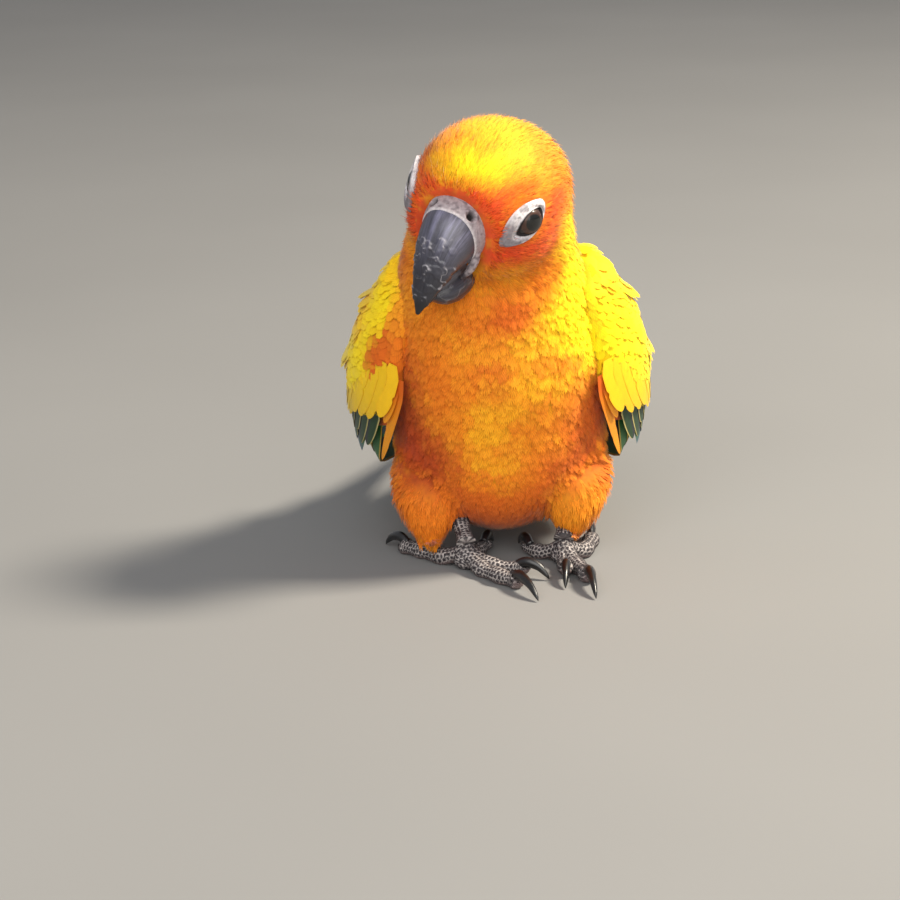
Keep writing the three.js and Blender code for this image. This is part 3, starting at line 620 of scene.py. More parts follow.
def featherTemplate(prongs, depth, seed, base):
    # A closed lens whose outline runs up one side, round a tip of pointed prongs and down the other. The
    # prongs stand on an ellipse round the point at the base, and the notches are cut towards that point
    draw = np.random.default_rng(seed)
    turns = np.radians(np.linspace(84, -84, 2 * prongs - 1) + draw.uniform(-2, 2, 2 * prongs - 1))
    odd = np.arange(len(turns)) % 2 == 1
    cut = np.where(odd, depth * draw.uniform(0.5, 1.3, len(turns)) * (0.3 + 0.7 * np.cos(turns)), 0)
    reach = (1 - draw.uniform(0, 0.08, len(turns))) * (1 - cut)
    tips = np.c_[base + (1 - base) * reach * np.cos(turns) ** 0.7, reach * np.sin(turns)]
    side = np.array([[0, 0.35], [0.6 * base, 0.9]])
    edge = np.vstack([side, tips, side[::-1] * (1, -1)])
    shaft = np.array([0.3 * base, base])
    top, low = len(edge), len(edge) + 2
    points = np.vstack([np.c_[edge, 0 * edge[:, 0]], np.c_[shaft, 0 * shaft, 1 + 0 * shaft],
                        np.c_[shaft, 0 * shaft, -1 + 0 * shaft]])
    middle = (edge[:, 0] > 0.5 * base).astype(int)
    k = np.arange(len(edge))
    n = (k + 1) % len(edge)
    step = middle[k] != middle[n]
    faces = np.vstack([np.c_[k, n, top + middle[k]], np.c_[n, top + middle[n], top + middle[k]][step]])
    under = np.vstack([np.c_[n, k, low + middle[k]], np.c_[low + middle[n], n, low + middle[k]][step]])
    return points, outward(points * (1, 1, 0.1), np.vstack([faces, under]))


def hairTemplate():
    # A three-sided spike, closed at the root: width 1 to the middle, then a point
    angle = 2 * np.pi * np.arange(3) / 3
    ring = np.c_[0 * angle, np.cos(angle), np.sin(angle)]
    points = np.vstack([ring * (1, 0.8, 0.8), ring + (0.5, 0, 0), [[1, 0, 0]]])
    k = np.arange(3)
    n = (k + 1) % 3
    sides = np.vstack([np.c_[k, n, n + 3], np.c_[k, n + 3, k + 3], np.c_[k + 3, n + 3, k * 0 + 6]])
    faces = np.vstack([[[2, 1, 0]], sides])
    return points, outward(points, faces)


def unwrap(points):
    # Place on an unwrap of the skin's own shape: angle and height round the head, the trunk and each leg
    local = offHead(points)
    onSkull = skullLevel(local) < 3.0
    skull = np.c_[np.arctan2(local[:, 0], -local[:, 1]) / (2 * np.pi) + 0.5,
                  0.66 + 0.32 * np.clip((local[:, 2] + 20) / 40, 0, 1)]
    t = np.clip((points[:, 1] + 90 - points[:, 2]) / 170, 0, 1)
    centre = along(trunk[:, :3], t)
    body = np.c_[np.arctan2(points[:, 0], points[:, 2] - centre[:, 2] + 0.3 * (points[:, 1] - centre[:, 1]))
                 / (2 * np.pi) + 0.5, 0.2 + 0.44 * t]
    leg = (points[:, 2] < 20) & (points[:, 1] < 16)
    side = np.sign(points[:, 0])
    shin = np.c_[0.5 + side * 0.25 + 0.22 * np.arctan2(points[:, 0] - 17 * side, 2 - points[:, 1]) / np.pi,
                 0.02 + 0.16 * np.clip(points[:, 2] / 20, 0, 1)]
    spot = np.where(onSkull[:, None], skull, np.where(leg[:, None], shin, body))
    return np.clip(spot, 0.004, 0.996)


def scatter(part, spacing, seed, crowd=9.0):
    # Darts thrown on a mesh by area, each kept if none kept before lies within the spacing there, which
    # is one number or a function of the place
    draw = np.random.default_rng(seed)
    corners = part["points"][part["faces"]]
    cross = np.cross(corners[:, 1] - corners[:, 0], corners[:, 2] - corners[:, 0])
    area = np.linalg.norm(cross, axis=1) / 2
    middle = corners.mean(1)
    room = spacing(middle) if callable(spacing) else np.full(len(middle), spacing)
    weight = np.where(room > 0, area / np.maximum(room, 0.1) ** 2, 0)
    count = int(crowd * weight.sum())
    chosen = np.sort(draw.choice(len(area), count, p=weight / weight.sum()))
    a, b = np.sqrt(draw.random(count)), draw.random(count)
    blend = np.stack([1 - a, a * (1 - b), a * b], -1)
    points = np.einsum("ij,ijk->ik", blend, corners[chosen])
    normals = unit(cross[chosen])
    order = draw.permutation(count)
    points, normals, near = points[order], normals[order], room[chosen][order]
    cell = near.max()
    keys = np.floor(points / cell).astype(int)
    taken, kept = {}, []
    offsets = [(i, j, k) for i in (-1, 0, 1) for j in (-1, 0, 1) for k in (-1, 0, 1)]
    spots = points.tolist()
    for n, (key, spot, reach) in enumerate(zip(keys.tolist(), spots, near.tolist())):
        limit = reach * reach
        x, y, z = spot
        if any((x - q[0]) ** 2 + (y - q[1]) ** 2 + (z - q[2]) ** 2 < limit
               for o in offsets for q in taken.get((key[0] + o[0], key[1] + o[1], key[2] + o[2]), ())):
            continue
        taken.setdefault(tuple(key), []).append(spot)
        kept.append(n)
    return points[kept], normals[kept]


def nearest(tree, points):
    # Nearest place and the surface's normal there, for each root
    found = [tree.find_nearest(point) for point in points.tolist()]
    return np.array([f[0] for f in found]), np.array([f[1] for f in found])


def layFeathers(bed, templates, kinds, size, pose):
    # Feathers on a bed of roots, normals and headings. Each shaft is an arc that follows the surface
    # from the root's normal to the normal under the tip, and rises from the sunk root to its tip
    roots, normals, headings, tree = bed
    length, half = size
    headings = unit(headings - normals * (headings * normals).sum(-1, keepdims=True))
    _, far = nearest(tree, roots + headings * length[:, None])
    bend = np.arctan2((far * headings).sum(-1), (far * normals).sum(-1))
    bend = np.clip(bend, -pose["bend"], pose["bend"])
    bend = np.where(np.abs(bend) < 1e-3, 1e-3, bend)
    parts = []
    for kind, (points, faces) in enumerate(templates):
        pick = np.flatnonzero(kinds == kind)
        if not len(pick):
            continue
        n, d = normals[pick][:, None], headings[pick][:, None]
        s = np.cross(n, d)
        a, b, h = points[:, 0][None], points[:, 1][None], points[:, 2][None]
        span, wide, arc = length[pick][:, None], half[pick][:, None], bend[pick][:, None]
        forward = span * np.sin(arc * a) / arc
        drop = span * (1 - np.cos(arc * a)) / arc
        local = n * np.cos(arc * a)[..., None] + d * np.sin(arc * a)[..., None]
        reach = b * wide
        twist = pose["twist"][pick][:, None]
        rise = pose["sink"] + (pose["rise"][pick][:, None] - pose["sink"]) * a ** 1.1
        rise = rise - reach ** 2 / (2 * pose["round"]) + h * pose["thick"] + reach * twist
        place = roots[pick][:, None] + d * forward[..., None] - n * drop[..., None]
        place = place + s * reach[..., None] + local * rise[..., None]
        shade = mix(pose["base"][pick][:, None], pose["tip"][pick][:, None],
                    np.clip(a, 0, 1)[..., None] ** 1.2)
        lean = np.broadcast_to(b * pose["crown"], arc.shape[:1] + b.shape[1:]) + twist
        normal = unit(local + lean[..., None] * s - 0.1 * d)
        spot = unwrap(roots[pick])[:, None] + 0.0015 * np.stack([2 * a - 1, b], -1)
        first = len(points) * np.arange(len(pick))[:, None, None]
        parts.append({
            "points": place.reshape(-1, 3),
            "faces": (faces[None] + first).reshape(-1, 3),
            "colour": np.broadcast_to(shade, place.shape).reshape(-1, 3),
            "vane": np.stack(np.broadcast_arrays(a * span, reach), -1).reshape(-1, 2),
            "bake": np.broadcast_to(spot, place.shape[:2] + (2,)).reshape(-1, 2),
            "normal": normal.reshape(-1, 3),
        })
    return joined(parts)


def flow(points, normals):
    # Lie of the coat: away from the bill over the head, then down the trunk, and down the legs
    local = offHead(points)
    radial = (local - np.array([0, -25, -2])) @ headTurn.T
    ease = smooth((local[:, 1] + 6) / 24)[:, None]
    onSkull = mix(unit(radial), np.array([0, 0.25, -1.0]), ease)
    places = np.linspace(0, 1, 80)
    line = along(trunk[:, :3], places)
    nearestPlace = ((points[:, None, 1:] - line[None, :, 1:]) ** 2).sum(-1).argmin(1)
    body = trunkHeading(places[nearestPlace])
    belly = smooth((70 - points[:, 2]) / 30)[:, None] * smooth((20 - points[:, 1]) / 30)[:, None]
    body = unit(body + 0.25 * (points * (1, 0, 0)) / 28 + np.array([0, 0, -0.35]) * belly)
    share = smooth((4.5 - skullLevel(local)) / 5)[:, None] * smooth((points[:, 2] - 68) / 8)[:, None]
    lie = mix(body, onSkull, share)
    leg = (smooth((22 - points[:, 2]) / 6) * smooth((17 - points[:, 1]) / 6))[:, None]
    lie = mix(lie, np.array([0, -0.25, -1.0]), leg)
    return unit(lie - normals * (lie * normals).sum(-1, keepdims=True))


almond = {"half": (6.95, 3.8), "tilt": 34, "shift": (-1.5, 0.85), "proud": 0.3}


def almondAxes(side):
    # Long and short directions of the bare skin round the eye, in the head's frame
    _, out, _ = eyePlace(side)
    back = unit(np.array([0, 1, 0]) - out * out[1])
    up = unit(np.cross(back, out) * side)
    up = up if up[2] > 0 else -up
    lean = math.radians(almond["tilt"])
    return back * math.cos(lean) + up * math.sin(lean), up * math.cos(lean) - back * math.sin(lean)


def bareLevel(local):
    # Below 1 on the bare skin round the eyes and under the cere: nothing grows there
    level = np.full(len(local), 9.0)
    for side in (1, -1):
        surface, _, _ = eyePlace(side)
        long, short = almondAxes(side)
        x = ((local - surface) @ long - almond["shift"][0]) / almond["half"][0]
        y = ((local - surface) @ short - almond["shift"][1]) / almond["half"][1]
        facing = np.where(local[:, 0] * side > 0, 0, 9)
        level = np.minimum(level, np.hypot(x, y / (1 - 0.32 * np.clip(x, -1, 1) ** 2)) + facing)
    chin = np.linalg.norm((local - (0, -16.5, -12)) / (5.4, 6, 5), axis=1)
    return np.minimum(level, np.minimum(billLevel(local), chin))


def coatRoots(spacing, where, seed):
    # Roots of one part of the coat: clear of the bare skin and of what the wings hide
    points, normals = scatter(skin, spacing, seed)
    keep = where(points) & (bareLevel(offHead(points)) > 1.0)
    for tree in coreTrees.values():
        covered = [tree.ray_cast(p, n, 7.0)[0] is not None for p, n in zip(points.tolist(), normals.tolist())]
        keep &= ~np.array(covered)
    return points[keep], normals[keep]


bodyTemplates = [featherTemplate(9, 0.34, 40 + k, 0.4) for k in range(6)]
headTemplates = [featherTemplate(4, 0.5, 60 + k, 0.25) for k in range(5)]


def coat(name, roots, slot, templates, dress, seed):
    # One piece of the coat. dress gives the feathers' length, half width, rise and tone in mm
    points, normals = roots
    draw = np.random.default_rng(seed)
    count = len(points)
    headings = flow(points, normals)
    sway = draw.normal(0, dress["sway"], count)[:, None]
    headings = unit(headings + sway * np.cross(normals, headings))
    tone = (1 + draw.normal(0, dress["tone"], count))[:, None]
    # Roots darker and tips a little lighter: painted shade where the feathers above cover the roots
    base = markings(points) * tone * (0.96, 0.88, 0.82)
    tip = np.minimum(markings(points + headings * dress["length"]) * tone * 1.02, 1)
    fine = 1 - dress.get("finer", 0) * smooth((36 - points[:, 2]) / 10)
    length = dress["length"] * fine * draw.uniform(0.82, 1.15, count)
    pose = {
        "sink": -0.4, "rise": dress["rise"] * draw.uniform(0.7, 1.3, count) * flatter(points), "round": 14.0,
        "bend": dress.get("bend", 0.9),
        "thick": dress["thick"], "twist": draw.normal(0, dress["twist"], count), "crown": 0.14,
        "base": base, "tip": tip,
    }
    kinds = draw.integers(0, len(templates), count)
    half = dress["half"] * fine * draw.uniform(0.85, 1.15, count)
    part = layFeathers((points, normals, headings, skinTree), templates, kinds, (length, half), pose)
    return meshPiece(name, part, softPlumage)


def flatter(points):
    # Feathers lie flatter over the crease between the flank and the leg
    return 1 - 0.45 * np.exp(-((points[:, 2] - 23) / 7) ** 2)


def headSpan(points):
    # From 1 on the head to 0 below the neck
    return smooth((4 - skullLevel(offHead(points))) / 3) * smooth((points[:, 2] - 70) / 6)


def headSpacing(points):
    face = smooth((-offHead(points)[:, 1] - 2) / 12)
    return mix(0.85, 0.62, face)


headDress = {"length": 3.6, "half": 0.6, "rise": 0.75, "thick": 0.04, "sway": 0.12, "twist": 0.1,
             "tone": 0.035}
bodyDress = {"length": 6.8, "half": 1.5, "rise": 0.85, "thick": 0.04, "sway": 0.12, "twist": 0.05,
             "tone": 0.02, "finer": 0.35}
neckDress = dict(bodyDress, length=5.2, half=1.1, rise=0.9)
backDress = dict(bodyDress, length=9.0, half=2.3)
thighDress = {"length": 5.6, "half": 0.75, "rise": 1.0, "thick": 0.04, "sway": 0.14, "twist": 0.1,
              "tone": 0.04, "bend": 0.32}
hairDress = {"length": 4.2, "half": 0.06, "rise": 1.15, "thick": 0.06, "sway": 0.2, "twist": 0.1,
             "tone": 0.16}


def isLeg(points):
    top = 19 + 7 * smooth((np.abs(points[:, 0]) - 11) / 6)
    return (points[:, 2] < top) & (points[:, 1] < 15) & (np.abs(points[:, 0]) > 6)


def isTrunk(points):
    return (points[:, 2] <= 62) & ~isLeg(points)


coat("coat_head", coatRoots(headSpacing, lambda p: headSpan(p) > 0.5, 1), "head_plumage", headTemplates,
     headDress, 2)
coat("coat_neck", coatRoots(0.95, lambda p: (headSpan(p) <= 0.5) & (p[:, 2] > 62), 3), "neck_plumage",
     bodyTemplates, neckDress, 4)
coat("coat_breast", coatRoots(lambda p: 1.2 - 0.3 * smooth((36 - p[:, 2]) / 10),
                              lambda p: isTrunk(p) & (p[:, 1] < 14), 5), "breast_plumage",
     bodyTemplates, bodyDress, 6)
coat("coat_back", coatRoots(1.8, lambda p: isTrunk(p) & (p[:, 1] >= 14), 7), "flank_plumage",
     bodyTemplates, backDress, 8)
coat("coat_thighs", coatRoots(0.85, isLeg, 9), "flank_plumage", headTemplates, thighDress, 10)
coat("coat_filaments", coatRoots(0.8, lambda p: p[:, 1] < 30, 11), "breast_plumage", [hairTemplate()],
     hairDress, 12)


# Wings: cores with small coverts, then tiers of vanes from the lowest to the topmost

wingTiers = {  # shares along the wing and across it, half width in mm, rise over the guide in mm
    "primaries": {"count": 9, "root": (0.47, 0.4), "tip": (0.84, 1.0), "lanes": (0.34, 0.9),
                  "ends": (0.1, 0.82), "half": 4.2, "rise": (-2.6, 0.9), "colour": "flight"},
    "secondaries": {"count": 9, "root": (0.33, 0.3), "tip": (0.72, 0.56), "lanes": (0.06, 0.78),
                    "ends": (0.06, 0.82), "half": 4.4, "rise": (-3.4, 0.9), "colour": "flight"},
    "primaryCoverts": {"count": 9, "root": (0.37, 0.3), "tip": (0.56, 0.51), "lanes": (0.36, 0.9),
                       "ends": (0.38, 0.9), "half": 3.0, "rise": (-1.7, 0.2), "colour": "dark"},
    "edge": {"count": 2, "root": (0.27, 0.25), "tip": (0.4, 0.5), "lanes": (0.98, 1.0), "ends": (0.98, 1.0),
             "half": 1.9, "rise": (-1.6, 0.1), "colour": "ochre"},
    "greaterCoverts": {"count": 17, "root": (0.32, 0.22), "tip": (0.5, 0.37), "lanes": (0.06, 0.95),
                       "ends": (0.08, 0.96), "half": 3.0, "rise": (-1.9, 0.7), "bow": 0.06,
                       "colour": "yellow"},
}
wingLength = 170  # mm
smallCoverts = {  # mm; each tip that stands out is a place along and across the wing, and by how much
    "spacing": 1.3, "length": 8.0, "half": 2.4, "thick": 0.05, "rise": (0.6, 1.2),
    "standingOut": [(0.1, 0.5, 2.2), (0.25, 0.52, 1.6)],
}
blade = {"thick": 0.1, "shaft": 0.12, "overlap": 0.32}


def vaneOutline(t, half):
    # Half width of a vane: half at the root, full by a fifth, rounded off by (1 - t⁵)^0.55
    return half * np.minimum(0.45 + 2.6 * t, 1) * (1 - np.clip(t, 0, 1) ** 5) ** 0.55


def vaneSlab(place, rows, seed, nicks=2):
    # A closed blade from place(t, q) -> point, normal and spot: thickness falls as 1 - 0.85q² to the edges,
    # the shaft is raised, and a few splits are nicked into the edges. Both faces keep the plane's normal
    draw = np.random.default_rng(seed)
    t = np.sin(np.linspace(0, 1, rows) * np.pi / 2)
    q = np.array([-1, -0.8, -0.5, -0.2, -0.07, 0, 0.07, 0.2, 0.5, 0.8, 1])
    t, q = np.meshgrid(t, q, indexing="ij")
    nick = np.ones_like(t)
    for spot, side, depth in zip(draw.uniform(0.45, 0.93, nicks), draw.choice([-1, 1], nicks),
                                 draw.uniform(0.12, 0.3, nicks)):
        nick -= depth * np.exp(-((t - spot) / 0.022) ** 2) * (q * side > 0)
    point, out, spots = place(t, q * nick)
    thick = blade["thick"] * (1 - 0.85 * np.abs(q) ** 2) * np.clip(8 * (1 - t), 0.1, 1)
    shaft = blade["shaft"] * np.exp(-(q / 0.07) ** 2) * (1 - t)
    top = point + out * (thick + shaft)[..., None]
    low = point - out * thick[..., None]

    def folded(over, under):
        # Over the top and back below
        return np.concatenate([over, under[:, ::-1]], 1)

    spread = np.stack([t, (q + 1) / 2], -1)
    values = {"vane": folded(spots, spots), "bake": folded(spread, spread), "normal": folded(out, -out)}
    return folded(top, low), values, folded(t, t), folded(q, q)


def vaneColour(kind, t, q, wobble, share, draw):
    # Pattern of a vane by its kind: flight vanes are green with a blue-black inner side and a yellow rim,
    # dark ones have a cream rim, and the yellow ones turn golden towards the leading edge as painted shade
    shape = t.shape + (3,)
    fade = draw.uniform(0.92, 1.06)
    if kind == "flight":
        base = np.broadcast_to(palette["green"], shape)
        base = mix(base, palette["ink"], smooth((0.15 - q) / 0.5)[..., None])
        base = mix(base, palette["blue"], (0.8 * smooth((t - 0.72) / 0.25))[..., None])
        rim = 0.85 * smooth((q - 0.8) / 0.12) * smooth((0.8 - t) / 0.2)
        return mix(base, palette["gold"], rim[..., None])
    if kind == "dark":
        base = np.broadcast_to(palette["deepGreen"], shape)
        base = mix(base, palette["ink"], smooth((0.1 - q) / 0.4)[..., None])
        return mix(base, palette["cream"], (0.8 * smooth((q - 0.86) / 0.08))[..., None])
    # Golden towards the leading edge: painted shade
    start = end = mix(palette["yellow"], palette["gold"], 0.7 * share ** 2)
    if kind == "ochre":
        start, end = palette["rust"], palette["amber"]
    base = mix(start, end, smooth(t * 1.4 + 0.3 * wobble)[..., None]) * fade
    # Darker and warmer towards both edges: painted shade between neighbouring vanes
    return base * mix(1, np.array([0.97, 0.86, 0.7]), smooth((np.abs(q) - 0.75) / 0.3)[..., None])


def wingVane(tier, k, seed):
    # One vane of a tier on the wing's guide, its lower edge raised over its neighbour
    draw = np.random.default_rng(seed)
    share = k / (tier["count"] - 1)
    rootU = mix(*tier["root"], share)
    bow = tier.get("bow", 0) * 4 * share * (1 - share)
    tipU = min(mix(*tier["tip"], share) + bow + draw.uniform(-0.012, 0.012), 1.0)
    pitch = (tier["lanes"][1] - tier["lanes"][0]) / (tier["count"] - 1)
    length = (tipU - rootU) * wingLength
    breadth = draw.uniform(0.93, 1.08)

    def place(t, q):
        u = mix(rootU, tipU, t)
        v = mix(mix(*tier["lanes"], share), mix(*tier["ends"], share), t)
        span = wingSurface(u, v)[3]
        half = vaneOutline(t, tier["half"] * breadth) / span
        offset = q * np.minimum(half, 2.1 * pitch)
        point, out, _, _ = wingSurface(u, np.clip(v + offset, 0.005, 1.06))
        rise = mix(*tier["rise"], t ** 1.2) + blade["overlap"] * (offset / pitch) * np.minimum(1, 4 * t)
        return point + out * rise[..., None], out, np.stack([t * length, offset * span], -1)

    ring, values, t, q = vaneSlab(place, 22, seed)
    wobble = noise(ring, 3.0, seed % 7) - 0.5
    return ring, dict(values, colour=vaneColour(tier["colour"], t, q, wobble, share, draw))


def atlas(bake, k, cells):
    # The k-th square of a sheet of cells by cells
    row, column = divmod(k, cells)
    return (bake * 0.9 + 0.05 + np.array([column, row])) / cells


def vanePart(ring, values, k, cells):
    return tube(ring, **dict(values, bake=atlas(values["bake"], k, cells)))


def mirrored(part):
    return dict(part, points=part["points"] * (-1, 1, 1), faces=part["faces"][:, ::-1],
                normal=part["normal"] * (-1, 1, 1))


def wingVanes():
    parts = []
    cells = math.ceil(math.sqrt(sum(tier["count"] for tier in wingTiers.values())))
    for tier in wingTiers.values():
        for k in range(tier["count"]):
            parts.append(vanePart(*wingVane(tier, k, 100 + len(parts)), len(parts), cells))
    return joined(parts)


def wingCoverts(core, tree, seed):
    # Small coverts over the shoulder, the outer face and round the leading edge. They are finer and take the
    # breast's colours where it laps over the edge, and two tips stand out of the wing's outline
    draw = np.random.default_rng(seed)
    points, normals = scatter(core, smallCoverts["spacing"], seed)
    u, v = nearestWing(points)
    limit = mix(0.45, 0.33, v) + 0.22 * v * (1 - v) - 0.03
    facing = normals[:, 0] * np.sign(points[:, 0])
    keep = (u < limit) & ((facing > -0.3) | (normals[:, 1] < -0.2))
    points, normals, u, v = points[keep], normals[keep], u[keep], v[keep]
    heading = wingHeading(u) * np.where(points[:, :1] < 0, (-1, 1, 1), 1)
    heading = unit(heading + draw.normal(0, 0.08, len(u))[:, None] * np.cross(normals, heading))
    colour = wingColour(points, np.minimum(u, 0.3), v) * (1 + draw.normal(0, 0.02, len(u)))[:, None]
    grow = mix(0.6, 1.1, smooth(u / 0.25)) * (1 - 0.35 * smooth((v - 0.68) / 0.12))
    length = smallCoverts["length"] * grow * draw.uniform(0.85, 1.15, len(u))
    lifted = draw.uniform(0.85, 1.15, len(u))
    for spot, lane, more in smallCoverts["standingOut"]:
        lifted += more * np.exp(-((u - spot) / 0.018) ** 2 - ((v - lane) / 0.07) ** 2)
    pose = {
        "sink": -0.3, "rise": mix(*smallCoverts["rise"], smooth(u / 0.2)) * lifted, "round": 16.0,
        "thick": smallCoverts["thick"], "bend": 0.9, "twist": draw.normal(0, 0.04, len(u)), "crown": 0.12,
        # roots darker and tips a little lighter: painted shade under the coverts that lap over them
        "base": colour * (0.98, 0.92, 0.84), "tip": np.minimum(colour * 1.02, 1),
    }
    kinds = draw.integers(0, len(covertTemplates), len(u))
    return layFeathers((points, normals, heading, tree), covertTemplates, kinds,
                       (length, smallCoverts["half"] * grow), pose)


def nearestWing(points):
    # How far along and how far across the wing's guide each point lies
    u, v = (grid.ravel() for grid in np.meshgrid(np.linspace(0, 0.75, 100), np.linspace(0, 1, 25)))
    guide = wingPoint(u, v)
    folded = np.abs(points * (1, 0, 0)) + points * (0, 1, 1)
    nearestPlace = np.concatenate([((part[:, None] - guide[None]) ** 2).sum(-1).argmin(1)
                                   for part in np.array_split(folded, len(folded) // 200 + 1)])
    return u[nearestPlace], v[nearestPlace]


def wingHeading(u):
    # Way to the tip, a little below the crest
    v = 0 * u + 0.6
    return unit(wingPoint(np.minimum(u + 0.02, 1), v) - wingPoint(np.maximum(u - 0.02, 0), v))


def wingColour(points, u, v):
    # Yellow coverts over green ones. The breast's own colours run over the leading edge, with a rusty
    # patch at the bird's right shoulder
    base = np.broadcast_to(palette["yellow"], points.shape)
    base = mix(base, palette["gold"], 0.6 * smooth(2.2 * noise(points, 6.0, 21) - 0.9)[:, None])
    lap = mix(0.83, 0.74, points[:, 0] < 0) + 0.08 * noise(points, 3.0, 22)
    inner = smooth((v - lap) / 0.08) * smooth((points[:, 2] - 47) / 6)
    base = mix(base, markings(points), inner[:, None])
    patch = smooth(1.5 - np.linalg.norm((points - (-29, -5, 56)) / (2.4, 6, 5), axis=1))
    base = mix(base, palette["rust"], 0.7 * patch[:, None])
    lower = mix(palette["deepGreen"], palette["rust"], smooth((v - 0.9) / 0.04)[:, None])
    return mix(base, lower, smooth((u - 0.35) / 0.03)[:, None])


covertTemplates = [featherTemplate(8, 0.12, 80 + k, 0.45) for k in range(4)]
vanesLeft = wingVanes()
for name, seed in (("left", 130), ("right", 131)):
    points = cores[name]["points"]
    # The core takes the wing's colours a quarter darker: painted shade where it shows between coverts and
    # vanes
    core = dict(cores[name], colour=wingColour(points, *nearestWing(points)) * 0.75,
                vane=np.zeros((len(points), 2)), bake=np.full((len(points), 2), 0.995),
                normal=np.zeros(points.shape))
    coverts = wingCoverts(cores[name], coreTrees[name], seed)
    meshPiece(f"wing_coverts_{name}", joined([core, coverts]), softPlumage)
    vanes = vanesLeft if name == "left" else mirrored(vanesLeft)
    meshPiece(f"wing_vanes_{name}", vanes, vanePlumage, (f"wing_{name}",))


# Tail: twelve long vanes in pairs, the middle pair longest and on top, with coverts over and under

tail = {"root": (48, 21.4), "tip": (163, 0.5), "half": 5.6, "pairs": 6, "outer": 0.56, "layer": 0.95}
tailCoverts = {"half": 3.2, "rows": 5, "rowsUnder": 3, "spreads": (1.2, 4.2, 7.0), "length": 38}


def tailVane(side, spec, seed):
    # A vane from the tail's root, sloping down to the tip, spread a little to its side
    draw = np.random.default_rng(seed)
    rootY, rootZ = tail["root"]
    slope = (tail["tip"][1] - rootZ) / (tail["tip"][0] - rootY)

    def place(t, q):
        y = spec["start"] + spec["length"] * t
        wide = vaneOutline(t, spec["half"])
        x = spec["spread"] + spec["fan"] * spec["length"] * t + q * wide
        z = np.maximum(rootZ + slope * (y - rootY) + spec["lift"] - 0.02 * (q * wide) ** 2, 0.35)
        point = np.stack([side * x, y, z], -1)
        out = np.broadcast_to(unit(np.array([0, -slope, 1.0])), point.shape)
        return point, out, np.stack([t * spec["length"], q * wide], -1)

    ring, values, t, q = vaneSlab(place, 40, seed, 4)
    if spec["kind"] == "covert":
        colour = mix(palette["gold"], palette["olive"], smooth(t * 1.3 - 0.3)[..., None])
        colour = colour * draw.uniform(0.9, 1.1)
    else:
        colour = mix(palette["olive"], palette["green"], smooth(t * 1.6)[..., None])
        colour = mix(colour, palette["blue"], (0.85 * smooth((t - 0.78) / 0.18))[..., None])
        colour = mix(colour, palette["ink"], (0.5 * smooth((0 - q) / 0.8))[..., None])
    return ring, dict(values, colour=colour)


def tailPart():
    # Each vane by its start and length in mm, its height over the tail's line, fan, and place off the middle
    rootY = tail["root"][0]
    whole = tail["tip"][0] - rootY
    specs = []
    for pair in range(tail["pairs"]):
        length = whole * mix(1, tail["outer"], pair / (tail["pairs"] - 1))
        for side in (1, -1):
            level = 0 if pair == 0 and side == 1 else -tail["layer"] * (pair + 1)
            specs.append((side, {"kind": "flight", "half": tail["half"], "spread": 0.35 + 1.4 * pair,
                                 "start": rootY, "length": length, "fan": 0.005 * pair,
                                 "lift": level + tail["layer"] - 0.3}))
    for row in range(tailCoverts["rows"]):
        for side in (1, -1):
            for spread in tailCoverts["spreads"]:
                reach = tailCoverts["length"] - 5 * row - 1.6 * spread
                covert = {"kind": "covert", "half": tailCoverts["half"], "spread": spread}
                specs.append((side, dict(covert, start=rootY - 6, length=reach, fan=0.015,
                                         lift=1.6 + 0.7 * row - 0.12 * spread)))
                if row < tailCoverts["rowsUnder"]:
                    specs.append((side, dict(covert, start=rootY - 4, length=reach + 6, fan=0.01,
                                             lift=-6.4 - 0.7 * row)))
    cells = math.ceil(math.sqrt(len(specs)))
    return joined([vanePart(*tailVane(*spec, 200 + k), k, cells) for k, spec in enumerate(specs)])


meshPiece("tail_vanes", tailPart(), vanePlumage, ("tail",))


# Bill and cere: sections between a ridge and a cutting edge, given as forward and up on the head

upperBill = {
    "ridge": [[11, 7.2], [16.6, 6.6], [21.2, 4.4], [24.6, 0.4], [27, -5.4], [28.8, -11.4], [29.9, -17.3]],
    "edge": [[11, -7], [14, -8.2], [18, -9.4], [22, -10.2], [25.2, -12], [27.6, -14.6], [29.3, -16.9]],
    "half": [7.1, 7.4, 6.7, 5.5, 4.1, 2.5, 0.5], "cereEnd": 0.3,
}
lowerBill = {
    "ridge": [[9, -8], [13.5, -9.2], [18, -10.6], [21.8, -12], [24.2, -13.8]],
    "edge": [[9, -16.4], [13.5, -18.2], [17.6, -18.8], [21.6, -17.9], [24.6, -15.6]],
    "half": [4.6, 5.4, 5.3, 4.2, 1.8],
}
gapePath = [[6.2, -16.6, -3.2], [6.5, -17, -6], [6, -17.5, -8.4], [5, -17.7, -10.4], [3.8, -17.6, -12]]
nostril = {"x": 4.9, "forward": 18.4, "up": 4.9, "radius": 1.15}
billColours = {name: hexColour(code) for name, code in {
    "slate": "#3d3c48", "paintedSheenViolet": "#67667c", "dark": "#24232b", "tip": "#0e0e12", "flake": "#a9a5ab",
    "cere": "#a2979b", "cereDark": "#6f666b", "cerePale": "#cfc8cb", "pit": "#140e10",
}.items()}


def billGrid(shape, start, end, rows, columns):
    # Rings between the ridge and the edge, wider below, in the head's frame, with t and the angle
    t, angle = ringGrid(start, end, rows, columns)
    ridge, edge, half = along(shape["ridge"], t), along(shape["edge"], t), along(shape["half"], t)
    rise = ridge - edge
    deep = np.linalg.norm(rise, axis=-1, keepdims=True) / 2
    middle = (ridge + edge) / 2 + unit(rise) * np.cos(angle)[..., None] * deep
    side = np.sign(np.sin(angle)) * np.abs(np.sin(angle)) ** 0.8 * half
    return np.stack([side, -middle[..., 0], middle[..., 1]], -1), t, angle


